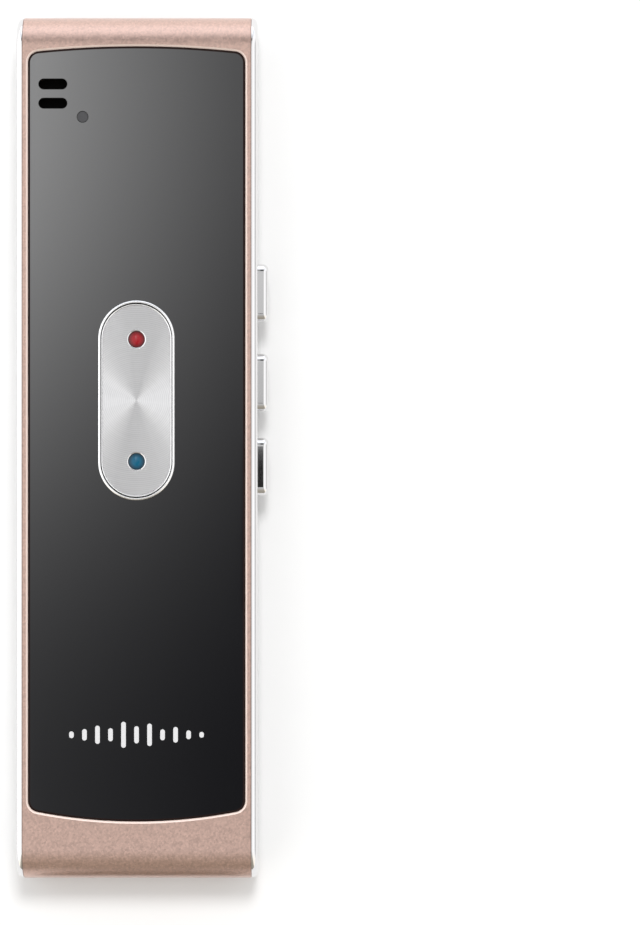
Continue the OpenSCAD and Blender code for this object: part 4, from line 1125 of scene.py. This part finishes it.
class TRANSLATOR_OT_studio(bpy.types.Operator):
    """Pale floor, graded card, soft lamps, surroundings and camera"""

    bl_idname = "translator.studio"
    bl_label = "Studio"

    def execute(self, context):
        studio = context.scene.translator_studio
        self.floor(studio)
        self.cards(studio)
        self.lamp(studio)
        self.surroundings(context)
        eye = bpy.data.cameras.new("eye")
        eye.lens = studio.lens
        eye.clip_start = 0.01
        eye.clip_end = 50
        camera = stand("eye", eye)
        camera.location = (studio.eye_x, studio.eye_y, studio.eye_z)
        context.scene.camera = camera
        context.scene.view_settings.view_transform = "Standard"
        return {"FINISHED"}

    def sheet(self, name, width, length, place, recipe):
        """A flat sheet of the studio."""
        corners = [(-1, -1), (1, -1), (1, 1), (-1, 1)]
        mesh = bpy.data.meshes.new(name)
        mesh.from_pydata([(x * width / 2, y * length / 2, 0) for x, y in corners], [], [(0, 1, 2, 3)])
        mesh.materials.append(recipe.material)
        piece = stand(name, mesh)
        piece.location = place
        return piece

    def floor(self, studio):
        """White floor, lifted to white far away where it is looked at. It keeps the shadow."""
        paper = Recipe("floor_paper", (0.74, 0.74, 0.74), 0.0, 0.9, Specular_IOR_Level=0.0)
        paper.colour(paper.noise(40, 2), (0.73, 0.73, 0.73), (0.75, 0.75, 0.75))
        rays = paper.add("ShaderNodeLightPath").outputs
        seen = paper.maths("MAXIMUM", rays["Is Camera Ray"], rays["Is Glossy Ray"])
        seen = paper.maths("MAXIMUM", seen, rays["Is Transmission Ray"])
        away = paper.made("ShaderNodeVectorMath", (paper.spot,), "Value", operation="LENGTH")
        lift = paper.soft(away, 0.3, 1.2, 0.0, studio.lift)
        self.shine(paper, paper.times(seen, lift))
        self.sheet("white_floor", 14, 14, (0, 0, -0.00001), paper)

    def shine(self, recipe, strength):
        """Lets a sheet give white light."""
        recipe.shader.inputs["Emission Color"].default_value = (1, 1, 1, 1)
        recipe.feed(recipe.shader.inputs["Emission Strength"], strength)

    def cards(self, studio):
        """Graded card above, bright over the microphone end on the left and dark over the other end.
        A black flag beside it darkens the glass, and a brown one on the floor, mirrored only,
        darkens the lower end of the metal."""
        matt = {"metallic": 0.0, "roughness": 1.0, "Specular_IOR_Level": 0.0}
        glow = Recipe("graded_card", (0, 0, 0), **matt)
        x, y, _ = glow.parts(glow.spot)
        across = glow.spread(x, -0.055, 0.045, 1.0, 0.58)
        along = glow.soft(y, -0.183, 0.177, 0.18, 0.54)
        grade = glow.maths("POWER", glow.times(across, along), 2.2)
        self.shine(glow, glow.times(grade, studio.card))
        self.sheet("graded_card", 0.126, 0.42, (-0.055, 0.013, 1.0), glow)
        black = Recipe("black_flag", (0.01, 0.01, 0.01), **matt)
        self.sheet("black_flag", 0.06, 0.08, (0.024, -0.032, 0.995), black)
        brown = Recipe("brown_flag", (0.20, 0.17, 0.14), **matt)
        flag = self.sheet("brown_flag", 0.035, 0.14, (0, -0.149, 0.00002), brown)
        flag.visible_camera = False
        flag.visible_diffuse = False
        flag.visible_shadow = False

    def lamp(self, studio):
        """Soft key lamp high beyond the microphone end. It throws the shadow and isn't mirrored."""
        light = bpy.data.lights.new("key_lamp", "AREA")
        light.shape = "DISK"
        light.size = 0.36
        light.energy = studio.key
        lamp = stand("key_lamp", light)
        lamp.location = (0.1, 0.6, 1.04)
        lamp.rotation_euler = Vector(lamp.location).to_track_quat("Z", "Y").to_euler()
        lamp.visible_glossy = False

    def surroundings(self, context):
        """Dim room with a pale ceiling and four upright panels, the one beyond the lower end the dimmest.
        A narrow dark gap between the lamps above and beyond shows as the black bars on the buttons."""
        studio = context.scene.translator_studio
        world = bpy.data.worlds.new("room")
        room = Nodes(world, "Generated", "ShaderNodeOutputWorld", "ShaderNodeBackground")
        x, y, z = room.parts(room.spot)
        wide = room.maths("ABSOLUTE", x)
        low = room.maths("SQRT", room.maths("MULTIPLY_ADD", x, x, room.times(y, y)))
        across = room.maths("DIVIDE", wide, low)
        along = room.maths("DIVIDE", room.maths("ABSOLUTE", y), low)
        far = room.soft(y, 0.6, 0.93, 0.0, studio.far_end - studio.overhead)
        near = room.spread(y, -1.0, 0.0, studio.near_end - studio.overhead, 0.0)
        ends = room.maths("ADD", room.maths("ADD", far, near), studio.overhead)
        gap_at = radians(33)
        away = room.maths("ABSOLUTE", room.maths("SUBTRACT", room.maths("ARCTAN2", y, z), gap_at))
        strip = room.maths("MAXIMUM", room.soft(away, radians(8), radians(10)), room.soft(wide, 0.1, 0.14))
        kept = room.soft(away, radians(3), radians(6), 1.0 - studio.gap, 1.0)
        ends = room.times(ends, room.maths("MINIMUM", kept, strip))
        ends = room.times(ends, room.soft(across, 0.47, 0.6, 1.0, 0.0))
        right = room.soft(x, 0.08, 0.45, studio.overhead, studio.right)
        right = room.maths("ADD", right, room.soft(x, 0.86, 0.97, 0.0, studio.right_low - studio.right))
        left = room.soft(x, -0.45, -0.08, studio.left, studio.overhead)
        left = room.maths("ADD", left, room.soft(x, -0.95, -0.75, studio.left_low - studio.left, 0.0))
        sides = room.spread(room.maths("GREATER_THAN", x, 0.0), 0.0, 1.0, left, right)
        sides = room.times(room.times(sides, room.soft(along, 0.8, 0.88, 1.0, 0.0)), strip)
        panels = room.maths("MAXIMUM", ends, sides)
        cool = room.mix(room.soft(y, 0.4, 0.8), (1.0, 1.0, 1.0), (0.97, 1.0, 1.05))
        warm = room.soft(y, -0.9, -0.2, 1.0, 0.0)
        room.feed(room.shader.inputs["Color"], room.mix(warm, cool, (1.0, 0.92, 0.78)))
        brightest = room.maths("MAXIMUM", panels, room.times(strip, studio.dim))
        room.feed(room.shader.inputs["Strength"], brightest)
        context.scene.world = world


class TRANSLATOR_PT_pieces(bpy.types.Panel):
    """Lists the pieces of the translator"""

    bl_idname = "TRANSLATOR_PT_pieces"
    bl_label = "Handheld translator"
    bl_space_type = "VIEW_3D"
    bl_region_type = "UI"
    bl_category = "Translator"

    def draw(self, context):
        for operator in pieces:
            self.layout.operator(operator.bl_idname)
        for name in groups:
            settings = getattr(context.scene, name)
            box = self.layout.box()
            for field in settings.bl_rna.properties:
                if field.identifier not in ("rna_type", "name"):
                    box.prop(settings, field.identifier)


groups = {
    "translator_shell": ShellSizes,
    "translator_grille": GrilleSizes,
    "translator_glass": GlassSizes,
    "translator_trim": TrimSizes,
    "translator_button": ButtonSizes,
    "translator_key": KeySizes,
    "translator_dome": DomeSizes,
    "translator_mark": MarkSizes,
    "translator_colours": Colours,
    "translator_studio": Studio,
}

pieces = (
    TRANSLATOR_OT_shell,
    TRANSLATOR_OT_glass,
    TRANSLATOR_OT_mark,
    TRANSLATOR_OT_trims,
    TRANSLATOR_OT_buttons,
    TRANSLATOR_OT_key_ring,
    TRANSLATOR_OT_talk_key,
    TRANSLATOR_OT_lenses,
    TRANSLATOR_OT_domes,
    TRANSLATOR_OT_works,
    TRANSLATOR_OT_studio,
)


def register():
    for name, group in groups.items():
        bpy.utils.register_class(group)
        setattr(bpy.types.Scene, name, PointerProperty(type=group))
    for piece in pieces:
        bpy.utils.register_class(piece)
    bpy.utils.register_class(TRANSLATOR_PT_pieces)


def unregister():
    bpy.utils.unregister_class(TRANSLATOR_PT_pieces)
    for piece in reversed(pieces):
        bpy.utils.unregister_class(piece)
    for name, group in groups.items():
        delattr(bpy.types.Scene, name)
        bpy.utils.unregister_class(group)


def main():
    register()
    bpy.ops.translator.shell()
    bpy.ops.translator.glass()
    bpy.ops.translator.mark()
    bpy.ops.translator.trims()
    bpy.ops.translator.buttons()
    bpy.ops.translator.key_ring()
    bpy.ops.translator.talk_key()
    bpy.ops.translator.lenses()
    bpy.ops.translator.domes()
    bpy.ops.translator.works()
    bpy.ops.translator.studio()


if __name__ == "__main__":
    main()
